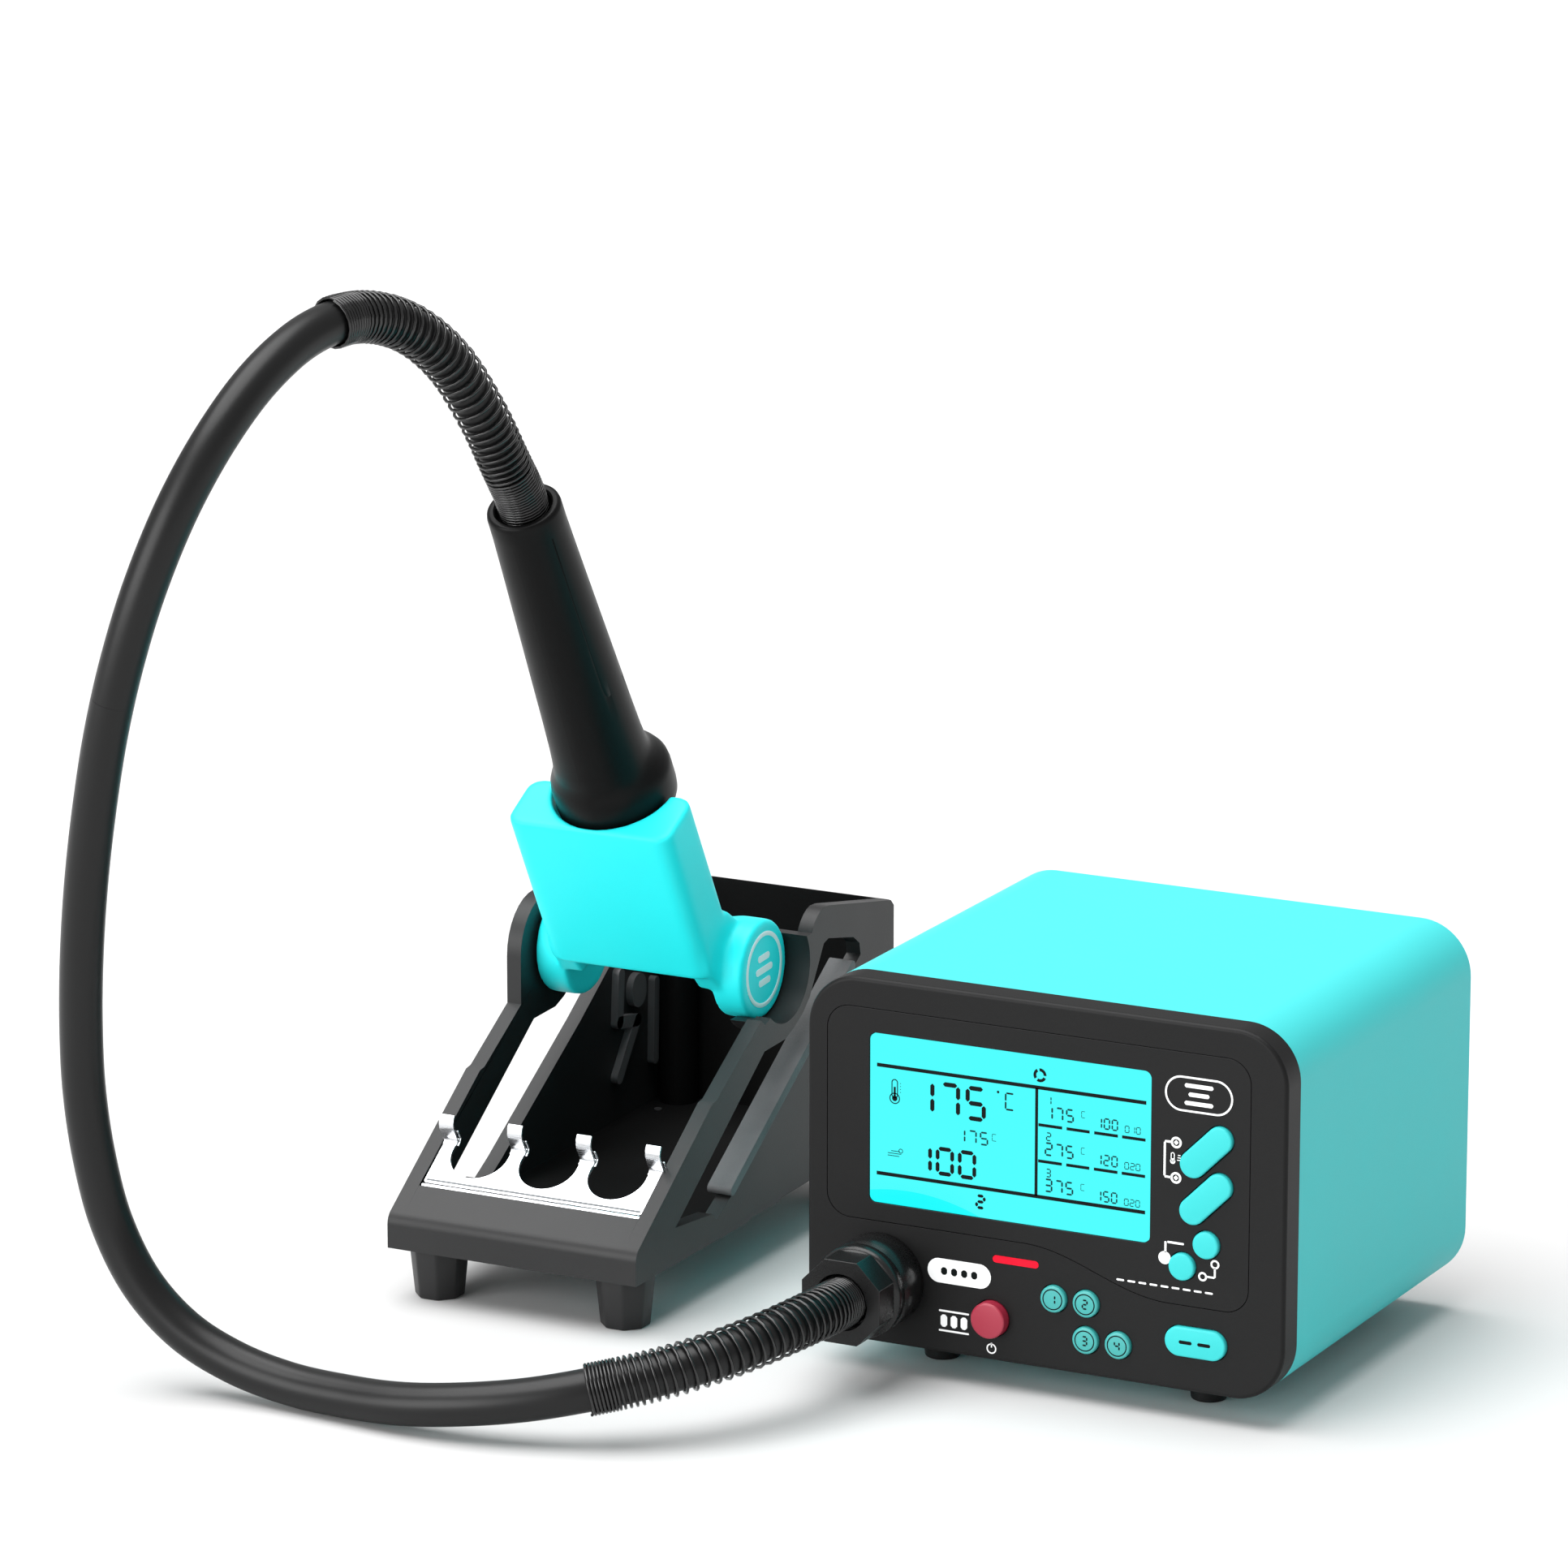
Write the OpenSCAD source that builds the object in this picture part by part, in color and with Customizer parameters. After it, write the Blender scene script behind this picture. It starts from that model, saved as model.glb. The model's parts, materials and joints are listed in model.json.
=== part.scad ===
// Hot-air rework station: control box, air hose, and a handle resting in a tilting cradle on its stand.
// Frame: +X right, -Y towards the user, +Z up, floor at z = 0, origin under the middle of the rigid parts.

/* [Control box] */
// Width of the control box
case_w = 188; // [184:1:230]
// Height of the control box above its feet
case_h = 136; // [134:1:170]
// Length of the one-piece cover
cover_l = 155; // [152:1:200]
// Outer corner radius of the cover and the front frame
corner_r = 20; // [16:1:22]
// Wall thickness of the cover
wall = 3; // [2:0.5:4]
// Depth of the front frame in front of the cover
bezel_d = 11.5; // [11.5:0.5:16]
// Edge rounding of the front frame
bezel_round = 1.6; // [0.6:0.2:2.4]
// Height of the rubber feet
foot_h = 11; // [8:1:16]
// Radius of the rubber feet at the top
foot_r = 7.4; // [6:0.2:9]

/* [Front panel] */
// Width of the display window
lens_w = 110.5; // [90:0.5:112]
// Height of the display window
lens_h = 63; // [50:0.5:64]
// Thickness of the raised face plate
plate_t = 2; // [1.5:0.1:2.5]
// Radius of the round keys
key_r = 5; // [4:0.1:5.4]
// Radius of the power button
power_r = 6.7; // [5:0.1:7.4]
// Height that the keys stand out of the panel
key_out = 1.6; // [1.4:0.1:3]
// Height that the power button stands out of the panel
power_out = 4; // [2:0.1:6]
// Travel of every key
key_travel = 1; // [0.6:0.1:1.2]
// Gap around a key in its hole
key_gap = 0.35; // [0.2:0.05:0.5]

/* [Hose gland] */
// Radius of the gland's round base
gland_r = 17.3; // [16:0.1:19]
// Length of the gland's round base
gland_l = 20.5; // [16:0.5:26]
// Radius of the octagonal nut across its corners
nut_r = 16.8; // [16:0.1:19]
// Length of the octagonal nut
nut_l = 11.8; // [10:0.1:15]
// Diameter of the air hose
hose_d = 15.6; // [14:0.1:16.4]
// Wire thickness of the spring guards
wire_d = 1.2; // [0.8:0.1:1.6]

/* [Stand] */
// Width of the stand
stand_w = 104.4; // [98:0.2:130]
// Depth of the stand
stand_d = 211; // [205:1:250]
// Space between the stand and the control box
side_gap = 66; // [50:1:100]
// Distance of the stand's front edge in front of the box's face
stand_ahead = 8.5; // [0:0.5:20]
// Thickness of the stand's side walls
cheek_t = 6; // [5:0.5:9]
// Height of the stand's underside
stand_z = 20.5; // [16:0.5:30]
// Angle of the stand's sloping front
slope = 34.5; // [30:0.5:36]
// Thickness of the stand's back and floor
stand_wall = 3; // [2.5:0.5:5]
// Thickness of the steel nozzle plate
tray_t = 1.5; // [1:0.1:2]

/* [Cradle] */
// Distance of the cradle's pivot behind the stand's front edge
pivot_in = 120.5; // [118:0.5:130]
// Height of the cradle's pivot
pivot_z = 109.8; // [106:0.2:125]
// Forward lean of the cradle and handle
tilt = 28.7; // [20:0.1:34]
// Width of the cradle
cradle_w = 68.6; // [62:0.2:72]
// Height of the cradle's upper edge above the pivot
cradle_top = 84.6; // [80:0.1:90]
// Height of the cradle's lower edge above the pivot
cradle_low = 13.6; // [12:0.1:18]
// Radius of the cradle's ears
ear_r = 19; // [16:0.2:21]
// Radius of the pivot pin
pin_r = 4; // [3:0.1:5]

/* [Handle] */
// Radius of the handle at its tail
tail_r = 13.9; // [13:0.1:15]
// Radius of the handle where it meets the head
grip_r = 17.8; // [16:0.1:19]
// Radius of the head
head_r = 23; // [21:0.1:23.4]
// Wall thickness of the handle
grip_wall = 2.2; // [1.8:0.1:3]
// Distance of the tail's end from the pivot
tail_s = 222; // [210:1:240]
// Radius of the steel barrel
barrel_r = 12.5; // [11:0.1:13.5]
// Bore radius of the nozzle
nozzle_bore = 4; // [2.5:0.1:5]

/* [Hidden] */
$fn = 64;

// clearances
gap = 0.2;                  // between fixed pieces that slide together
run = 0.05;                 // radial clearance of a shaft in its bore
loose = 0.5;                // between the ears and their seats
eps = 0.01;

// overall places
total_w = stand_w + side_gap + case_w;
station_x = total_w / 2 - case_w / 2;
stand_x = -total_w / 2 + stand_w / 2;
gland_out = gland_l + nut_l;
ahead = max(gland_out, stand_ahead);
behind = max(bezel_d + cover_l, stand_d - stand_ahead);
face_y = (ahead - behind) / 2;
cover_y = face_y + bezel_d;
rear_y = cover_y + cover_l;
lip_y = face_y - stand_ahead;

// front panel places, from the box's middle and underside
front_wall = 4;
plate_w = case_w - 22;
plate_x = -3;
plate_top = case_h - 11;
plate_mid = 46;
plate_low = 32;
plate_r = 9;
wave_x0 = -8;
wave_x1 = 49.5;
lens_x = -case_w / 2 + 25 + lens_w / 2;
lens_z = case_h - 20 - lens_h / 2;
column_x = case_w / 2 - 30.5;
key_rim = 0.8;              // retaining rim behind the panel
key_rim_t = 1;
rim_d = 2 * (key_r + key_rim);
air_step = (rim_d + 1.4) * cos(45);
temp_step = (rim_d + 0.56) / cos(45);
temp_z = plate_top - 35.3;
air_x = column_x + 0.3;
air_z = temp_z - temp_step - 5.3 - rim_d;
preset_x = 4.7;
preset_step = rim_d + 1.1;
preset_z = 27.1;
preset_drop = rim_d + 2;
gland_x = -case_w / 2 + 29.6;
gland_z = 24.6;
led_w = 18;
led_h = 2.6;
led_x = -10.7;
led_z = 38.5;
power_x = -20;
power_z = 16;
pill_len = 14.2;
set_len = 12.6;
set_r = 5.5;

// key places: x, z, length between the end centres, turn, radius, height proud of the panel
power_at = [power_x, power_z, 0, 0, power_r, power_out];
temp_up_at = [column_x, temp_z, pill_len, 45, key_r, key_out];
temp_down_at = [column_x, temp_z - temp_step, pill_len, 45, key_r, key_out];
air_up_at = [air_x, air_z, 0, 0, key_r, key_out];
air_down_at = [air_x - air_step, air_z - air_step, 0, 0, key_r, key_out];
preset_1_at = [preset_x, preset_z, 0, 0, key_r, key_out];
preset_2_at = [preset_x + preset_step, preset_z, 0, 0, key_r, key_out];
preset_3_at = [preset_x + preset_step, preset_z - preset_drop, 0, 0, key_r, key_out];
preset_4_at = [preset_x + 2 * preset_step, preset_z - preset_drop, 0, 0, key_r, key_out];
set_at = [case_w / 2 - 33.7, power_z + 2.8, set_len, 0, set_r, key_out];
plate_keys = [temp_up_at, temp_down_at, air_up_at, air_down_at];
frame_keys = [power_at, preset_1_at, preset_2_at, preset_3_at, preset_4_at, set_at];
all_keys = concat(plate_keys, frame_keys);
switch_gap = 0.15;          // left between a pressed key and its switch
board_t = 1.6;
board_y = face_y + 9.6;
switch_h = 3;
module_d = 5;

// gland and hose
nut_bore = gland_r - 3.6;
neck_r = nut_bore - gap;
guard_r = hose_d / 2 + wire_d + 0.7;
hose_lap = 4;               // neck of the gland inside the nut
hose_start_y = face_y - gland_l - hose_lap;
duct_r = 6;
spigot_r = 12;

// inside of the box
base_t = 1.6;
base_w = case_w - 2 * corner_r - 6;
base_z = foot_h + wall + gap;
deck_z = base_z + base_t;
rear_t = 3;
blower_x = gland_x + 30;
blower_y = rear_y - 61.5;
volute_r = 42;
volute_h = 35;
volute_wall = 2.5;
volute_z = deck_z;
inlet_r = 24;
motor_r = 16;
motor_h = 28;
shaft_r = 3;
fan_r = 34;
fan_h = 24;
hub_r = 8;
blades = 16;
pcb_x = case_w / 2 - 49;
pcb_w = 64;
pcb_l = 118;
pillar_h = 6;
pillar_r = 3;
pillar_in = 5;
coil_w = 46;
coil_l = 40;
coil_h = 38;
cap_r = 9;
cap_h = 34;
inlet_w = 47.6;
inlet_h = 27.6;
inlet_z = 52;
fuse_z = 92;
fuse_r = 8;
grille_r = 30;
grille_z = 84;
foot_in_x = 41;
foot_in_y = 28;
screw_r = 1.6;
screw_head_r = 3.2;
screw_head_t = 2;
foot_web = 3;               // rubber left above a screw's head

// stand outline, from the stand's front edge and the floor
lip_r = 6;
lip_z = stand_z + 8.9;      // middle of the rounding at the front lip
step_in = 60.3;
step_run = 3.6;
step_rise = 0.6;
upper_slope = 30.7;
seat_r = ear_r + loose;
seat_boss = 15;             // width of the ledge that carries the right ear
ear_face = stand_w / 2 - 9.5;
washer_t = 1;
left_face = stand_w / 2 - cheek_t - washer_t - gap;
ear_in = 30;
ear_t = ear_face - ear_in;
web_in = 10;                // thickness of the web between ear and block
ear_wall_r = 21;            // radius of the left wall's shoulder around the ear
shoulder_front = 28;        // front of the left wall, ahead of the pivot
rear_top_z = pivot_z + 6.9;
lip_corner = [lip_r * (1 - sin(slope)), lip_z + lip_r * cos(slope)];
slot_y0 = 31;
slot_low = 60;              // where the slot's lower edge starts
slot_end = 62;              // rear end of the slot behind the pivot
rail_r = 2;
rail_in = 3;                // how far the rail reaches inside the wall
rail_out = 1.2;             // how far it stands out of the wall
column_r = 7.4;
column_in = 14.7;           // distance of the column from the left side

leg_r = 11.3;
leg_r2 = 9.2;
leg_in = 13;
leg_y0 = 16;
leg_y1 = stand_d - 22;
tray_in = 13.5;
tray_l = 24.8;
tray_base = 7.4;              // unbroken front strip of the plate
tray_down = 0.8;            // the plate sits this far below the sloping edges
tray_w = stand_w - 2 * cheek_t - 2 * gap;
fork_pitch = 29;
fork_w = 5.6;
notch_r = (fork_pitch - fork_w) / 2;
tab_l = 8.5;

// cradle and handle, in the tilted frame: z along the handle, y to the back
pivot_y = lip_y + pivot_in;
cradle_front = -24;
cradle_back = 1;
trough_y = 2.5;
trough_r = head_r + 1;
cradle_r = 6;
pin_in = 12;
magnet_r = 3;
magnet_t = 3;
magnet_s = 44;              // height of the magnet in the trough wall
head_low = 74;
head_mid = 92;
head_top = 104.5;
grip_low = head_top;
grip_high = tail_s - 9;
core_r = 8;
seat_in = 14;               // barrel held in the head over this length
barrel_wall = 1.2;
barrel_low = 24;
shelf_r = barrel_r + 2;     // seat for the head, open to the back
shelf_t = 8;
nozzle_r = barrel_r + 1.2;
nozzle_tip = 6;
nozzle_lap = 14;
tip_r = nozzle_bore + 1.5;
tail_bore = guard_r + 0.6;
tail_floor = tail_s - 6;

// route of the hose's middle line from the gland to the handle, chosen by hand
function tail_at(s) = [stand_x, pivot_y - s * sin(tilt), pivot_z + s * cos(tilt)];
function gland_at(out) = [station_x + gland_x, face_y - gland_l - out, foot_h + gland_z];
loop = [[19, -134, 35.4], [12, -156, 33], [1, -176, 29.5], [-14, -192, 25.4], [-33, -205, 21],
    [-54, -214, 16.6], [-77, -219.5, 13], [-101, -221, 10], [-125, -219, 8.6], [-149, -217, 9],
    [-172, -216.5, 13.4], [-192, -218, 23], [-208, -220, 39], [-218.5, -222.5, 61], [-223, -226, 86],
    [-224, -230, 112], [-221.5, -235, 139], [-217, -240.5, 166], [-211, -246, 194], [-204.5, -250, 222],
    [-197.5, -252.6, 250], [-190, -252.8, 277], [-182, -249.5, 304], [-173.5, -241, 331],
    [-166, -226.5, 354], [-160.5, -206, 371.5], [-155.5, -181.5, 382.5], [-150, -157, 385],
    [-143.5, -134, 378], [-137, -115.5, 363], [-131.5, -101.5, 342], [-128, -91.5, 323]];
route = concat([gland_at(hose_lap), gland_at(nut_l)], loop, [tail_at(tail_s + 6), tail_at(tail_floor)]);
guard_from = 28;            // first ring of the handle's spring guard
station_rings = 5;          // rings of the station's spring guard
hose_sides = 12;
hose_gap = 0.3;             // between the hose and the coils around it

function arc(c, r, a0, a1, n) =
    [for (i = [0:n]) c + r * [cos(a0 + (a1 - a0) * i / n), sin(a0 + (a1 - a0) * i / n)]];
function ease(t) = (1 - cos(180 * t)) / 2;
function unit(v) = v / norm(v);
function heading(p, i) = unit(p[min(i + 1, len(p) - 1)] - p[max(i - 1, 0)]);
function across(d) = unit(cross(d, [1, -1, 1]));

// ---- helpers ----
module box_frame() { translate([station_x, 0, foot_h]) children(); }
module tilted() { translate([stand_x, pivot_y, pivot_z]) rotate([tilt, 0, 0]) children(); }
module slab(y0, y1) { translate([0, y1, 0]) rotate([90, 0, 0]) linear_extrude(y1 - y0) children(); }
module side(x0, x1) { translate([x0, 0, 0]) rotate([90, 0, 90]) linear_extrude(x1 - x0) children(); }
module rod_x(r, x0, x1) { translate([x0, 0, 0]) rotate([0, 90, 0]) cylinder(r = r, h = x1 - x0); }
module rod_y(r, y0, y1) { translate([0, y1, 0]) rotate([90, 0, 0]) cylinder(r = r, h = y1 - y0); }

module rrect(w, h, r) {
    square([w - 2 * r, h], center = true);
    square([w, h - 2 * r], center = true);
    for (x = [-1, 1], y = [-1, 1]) translate([x * (w / 2 - r), y * (h / 2 - r)]) circle(r);
}

// outline of the box, with its middle over the origin and its underside on z = inset
module case_outline(inset = 0) {
    translate([0, case_h / 2]) rrect(case_w - 2 * inset, case_h - 2 * inset, corner_r - inset);
}

// a stadium: two round ends, len apart
module pill(len, r) {
    if (len > 0) square([len, 2 * r], center = true);
    for (x = len > 0 ? [-1, 1] : [0]) translate([x * len / 2, 0]) circle(r);
}

module key_outline(at, grow) { translate([at[0], at[1]]) rotate(at[3]) pill(at[2], at[4] + grow); }
module key_holes(keys) { for (at = keys) key_outline(at, key_gap); }
module gland_place() { translate([gland_x, 0, gland_z]) children(); }

function ring(path, i, r, sides) =
    let (d = heading(path, i), u = across(d), v = cross(d, u))
    [for (k = [0:sides - 1]) path[i] + r * (u * cos(360 * k / sides) + v * sin(360 * k / sides))];
function wall_faces(n, sides, from, out) = [for (i = [0:n - 2], k = [0:sides - 1])
    let (a = from + i * sides, b = a + sides, k2 = (k + 1) % sides)
        each out ? [[a + k, b + k, b + k2], [a + k, b + k2, a + k2]]
            : [[a + k2, b + k2, b + k], [a + k2, b + k, a + k]]];

// tube swept along ring centres; solid where it has no bore
module sweep(path, r, sides, bore = 0) {
    n = len(path);
    last = (n - 1) * sides;
    inner = n * sides;
    outer_points = [for (i = [0:n - 1]) each ring(path, i, r, sides)];
    inner_points = bore > 0 ? [for (i = [0:n - 1]) each ring(path, i, bore, sides)] : [];
    ends = bore > 0
        ? [for (k = [0:sides - 1]) let (k2 = (k + 1) % sides)
            each [[k, k2, inner + k2, inner + k], [last + k2, last + k, inner + last + k, inner + last + k2]]]
        : [[for (k = [0:sides - 1]) k], [for (k = [sides - 1:-1:0]) last + k]];
    faces = concat(wall_faces(n, sides, 0, true), bore > 0 ? wall_faces(n, sides, inner, false) : [], ends);
    polyhedron(concat(outer_points, inner_points), faces, convexity = 6);
}

// ---- control box ----
module shell_cover() {
    color([0.3, 0.95, 0.97]) box_frame() difference() {
        slab(cover_y, rear_y) difference() {
            case_outline();
            case_outline(wall);
        }
        for (x = [-1, 1], y = [face_y + foot_in_y, rear_y - foot_in_y])
            translate([x * (case_w / 2 - foot_in_x), y, -eps]) cylinder(r = screw_r + gap, h = wall + 2 * eps);
    }
}

// frame with a rounded front edge: layers of the outline and a quarter round along the rim
module rounded_front(r) {
    w = case_w;
    h = case_h;
    slab(face_y + r, cover_y) case_outline();
    slab(face_y, face_y + r + eps) case_outline(r);
    translate([0, face_y + r, h / 2]) for (x = [-1, 1], z = [-1, 1])
        translate([x * (w / 2 - corner_r), 0, z * (h / 2 - corner_r)])
            rotate([90, 0, 0]) rotate([0, 0, x > 0 ? (z > 0 ? 0 : 270) : (z > 0 ? 90 : 180)])
                rotate_extrude(angle = 90) translate([corner_r - r, 0]) quarter(r);
    for (x = [-1, 1]) translate([x * (w / 2 - r), face_y + r, corner_r])
        rotate([0, 0, x > 0 ? 270 : 180]) linear_extrude(h - 2 * corner_r) quarter(r);
    for (z = [-1, 1]) translate([-w / 2 + corner_r, face_y + r, h / 2 + z * (h / 2 - r)])
        rotate([90, z > 0 ? 0 : 90, 90]) mirror([1, 0, 0]) linear_extrude(w - 2 * corner_r) quarter(r);
}
module quarter(r) { intersection() { circle(r); square(r); } }

module plate_outline(grow = 0) {
    translate([plate_x, (plate_top + plate_mid) / 2])
        rrect(plate_w + 2 * grow, plate_top - plate_mid + 2 * grow, plate_r + grow);
    right = plate_x + plate_w / 2 - plate_r;
    polygon(concat(
        [for (i = [0:16]) [wave_x0 + (wave_x1 - wave_x0) * i / 16,
            plate_mid - grow - (plate_mid - plate_low) * ease(i / 16)]],
        [[right, plate_low - grow], [right, plate_mid + plate_r], [wave_x0, plate_mid + plate_r]]));
    translate([right, plate_low + plate_r]) {
        circle(plate_r + grow);
        square([plate_r + grow, plate_mid - plate_low + plate_r]);
    }
}

module lens_outline(grow = 0) { translate([lens_x, lens_z]) rrect(lens_w + 2 * grow, lens_h + 2 * grow, 2.5 + grow); }

module front_bezel() {
    color([0.18, 0.18, 0.18]) box_frame() difference() {
        union() {
            rounded_front(bezel_round);
            slab(cover_y - eps, cover_y + 4) difference() {
                case_outline(wall + gap);
                case_outline(2 * wall);
            }
        }
        slab(face_y + front_wall, cover_y + 5) case_outline(2 * wall);
        slab(face_y - eps, face_y + plate_t + gap) plate_outline(gap);
        slab(face_y - eps, face_y + front_wall + eps) {
            lens_outline(-2);
            key_holes(all_keys);
            translate([led_x, led_z]) pill(led_w - led_h, led_h / 2 + gap / 2);
            translate([gland_x, gland_z]) circle(spigot_r + gap);
        }
    }
}

module face_plate() {
    color([0.2, 0.2, 0.2]) box_frame() slab(face_y, face_y + plate_t) difference() {
        plate_outline();
        lens_outline(gap);
        key_holes(plate_keys);
    }
}

module display_lens() {
    color([0.3, 1, 1]) box_frame() slab(face_y + 0.3, face_y + plate_t) lens_outline();
}

module display_module() {
    color([0.15, 0.3, 0.2]) box_frame() slab(face_y + front_wall, face_y + front_wall + module_d)
        translate([lens_x, lens_z]) square([lens_w + 4, lens_h + 4], center = true);
}

module led_window() {
    color([1, 0, 0.15]) box_frame() slab(face_y, face_y + front_wall)
        translate([led_x, led_z]) pill(led_w - led_h, led_h / 2);
}

// a key: cap through the panel, retaining rim behind it and a stem to its switch
module key(at, back) {
    box_frame() {
        slab(face_y - at[5], back + key_travel + gap) key_outline(at, 0);
        slab(back + key_travel + gap, back + key_travel + gap + key_rim_t) key_outline(at, key_rim);
        translate([at[0], 0, at[1]])
            rod_y(2.2, back + key_travel + gap + key_rim_t - eps, board_y - switch_h - key_travel - switch_gap);
    }
}
key_back = face_y + front_wall - key_travel;
cyan = [0.28, 0.9, 0.9];
module power_button() { color([0.77, 0.22, 0.3]) key(power_at, key_back); }
module temp_up_button() { color(cyan) key(temp_up_at, key_back); }
module temp_down_button() { color(cyan) key(temp_down_at, key_back); }
module air_up_button() { color(cyan) key(air_up_at, key_back); }
module air_down_button() { color(cyan) key(air_down_at, key_back); }
module preset_1_button() { color(cyan) key(preset_1_at, key_back); }
module preset_2_button() { color(cyan) key(preset_2_at, key_back); }
module preset_3_button() { color(cyan) key(preset_3_at, key_back); }
module preset_4_button() { color(cyan) key(preset_4_at, key_back); }
module set_button() { color(cyan) key(set_at, key_back); }

module control_board() {
    color([0.1, 0.4, 0.2]) box_frame() slab(board_y, board_y + board_t) difference() {
        case_outline(2 * wall + 1);
        translate([gland_x, gland_z]) circle(gland_r + 2);
    }
}

module key_switches() {
    color([0.25, 0.25, 0.28]) box_frame() for (at = all_keys) translate([at[0], 0, at[1]]) {
        slab(board_y - 2, board_y) square(6, center = true);
        rod_y(1.6, board_y - switch_h, board_y - 2 + eps);
    }
}

module gland_body() {
    color([0.12, 0.12, 0.13]) box_frame() gland_place() difference() {
        union() {
            rod_y(gland_r, face_y - gland_l, face_y);
            rod_y(neck_r, hose_start_y, face_y);
            rod_y(spigot_r, face_y - eps, cover_y + 12);
        }
        rod_y(duct_r, hose_start_y - 1, cover_y + 13);
    }
}

module gland_nut() {
    color([0.2, 0.2, 0.21]) box_frame() gland_place() difference() {
        translate([0, face_y - gland_l - gap, 0]) rotate([90, 22.5, 0]) cylinder(r = nut_r, h = nut_l - gap, $fn = 8);
        rod_y(nut_bore, hose_start_y - 3, face_y);
        rod_y(guard_r + 0.8, face_y - gland_out - 1, face_y);
    }
}

module rear_outline() {
    difference() {
        case_outline(wall + gap);
        translate([pcb_x, inlet_z]) square([inlet_w + 2 * gap, inlet_h + 2 * gap], center = true);
        translate([pcb_x, fuse_z]) circle(fuse_r + gap);
        translate([blower_x, grille_z]) circle(grille_r + gap);
        rear_screw_places() circle(screw_r + gap);
    }
}
module rear_screw_places() {
    for (x = [-1, 1], z = [corner_r, case_h - corner_r]) translate([x * (case_w / 2 - 10), z]) children();
}
module rear_panel() { color([0.16, 0.16, 0.16]) box_frame() slab(rear_y - rear_t, rear_y) rear_outline(); }

module mains_inlet() {
    color([0.08, 0.08, 0.08]) box_frame() translate([pcb_x, 0, inlet_z]) difference() {
        union() {
            slab(rear_y - 22, rear_y) square([inlet_w, inlet_h], center = true);
            slab(rear_y, rear_y + 2) rrect(inlet_w + 6, inlet_h + 6, 3);
        }
        slab(rear_y - 16, rear_y + 3) rrect(24, 16, 3);
    }
    color("silver") box_frame() for (x = [-7, 0, 7])
        translate([pcb_x + x, 0, inlet_z + (x == 0 ? 3 : -1)])
            slab(rear_y - 16 - eps, rear_y - 3) square([2, 4], center = true);
}

module fuse_holder() {
    color([0.1, 0.1, 0.1]) box_frame() translate([pcb_x, 0, fuse_z]) {
        rod_y(fuse_r, rear_y - 26, rear_y + eps);
        rod_y(fuse_r + 2, rear_y, rear_y + 5);
    }
}

module intake_grille() {
    color([0.14, 0.14, 0.14]) box_frame() translate([blower_x, 0, grille_z]) slab(rear_y - rear_t, rear_y) {
        difference() {
            circle(grille_r);
            circle(grille_r - 3);
        }
        for (r = [7:6:grille_r - 4]) difference() {
            circle(r);
            circle(r - 2);
        }
        for (a = [0:45:135]) rotate(a) square([2 * grille_r - 2, 2.4], center = true);
    }
}

module foot_places() {
    for (x = [-1, 1], y = [face_y + foot_in_y, rear_y - foot_in_y])
        translate([station_x + x * (case_w / 2 - foot_in_x), y, 0]) children();
}

module base_plate() {
    color([0.75, 0.77, 0.78]) difference() {
        translate([station_x - base_w / 2, cover_y + 5, base_z])
            cube([base_w, cover_l - rear_t - 6, base_t]);
        foot_places() translate([0, 0, base_z - 1]) cylinder(r = screw_r + gap, h = base_t + 2);
    }
}

// tapered foot with a recess for its screw's head
module foot(r_low, r_top, height) {
    difference() {
        cylinder(r1 = r_low, r2 = r_top, h = height);
        translate([0, 0, -1]) cylinder(r = screw_head_r + gap, h = height - foot_web + 1);
        cylinder(r = screw_r + gap, h = height + 1);
    }
}
module foot_screw(height, top) {
    translate([0, 0, height - foot_web - screw_head_t]) cylinder(r = screw_head_r, h = screw_head_t);
    translate([0, 0, height - foot_web - eps]) cylinder(r = screw_r, h = top - height + foot_web + eps);
}
module case_feet() { color([0.1, 0.1, 0.1]) foot_places() foot(foot_r - 0.9, foot_r, foot_h); }
module foot_screws() { color("silver") foot_places() foot_screw(foot_h, deck_z); }

module rear_screws() {
    color("silver") box_frame() {
        slab(rear_y, rear_y + screw_head_t) rear_screw_places() circle(screw_head_r);
        slab(rear_y - rear_t - 4, rear_y + eps) rear_screw_places() circle(screw_r);
    }
}

pcb_y = rear_y - 24 - pcb_l;
module pcb_corners() {
    for (x = [-1, 1], y = [pillar_in, pcb_l - pillar_in])
        translate([station_x + pcb_x + x * (pcb_w / 2 - pillar_in), pcb_y + y, deck_z]) children();
}
module board_pillars() { color("gold") pcb_corners() cylinder(r = pillar_r, h = pillar_h); }
module on_pcb(x, y) { translate([station_x + pcb_x + x, pcb_y + y, deck_z + pillar_h + board_t]) children(); }

module power_board() {
    color([0.1, 0.35, 0.18]) translate([station_x + pcb_x - pcb_w / 2, pcb_y, deck_z + pillar_h])
        cube([pcb_w, pcb_l, board_t]);
}
module transformer() {
    color([0.7, 0.45, 0.15]) on_pcb(-coil_w / 2 - 4, 10) {
        cube([coil_w, coil_l, coil_h]);
        translate([-3, coil_l / 4, 6]) cube([coil_w + 6, coil_l / 2, coil_h - 12]);
    }
}
module capacitors() {
    color([0.15, 0.18, 0.3]) for (x = [-18, 4]) on_pcb(x, 66) cylinder(r = cap_r, h = cap_h);
}
module heat_sink() {
    color([0.7, 0.7, 0.72]) on_pcb(-24, 84) {
        cube([44, 3, 30]);
        for (i = [0:7]) translate([i * 6, 3 - eps, 0]) cube([2, 12, 30]);
    }
}

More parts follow.
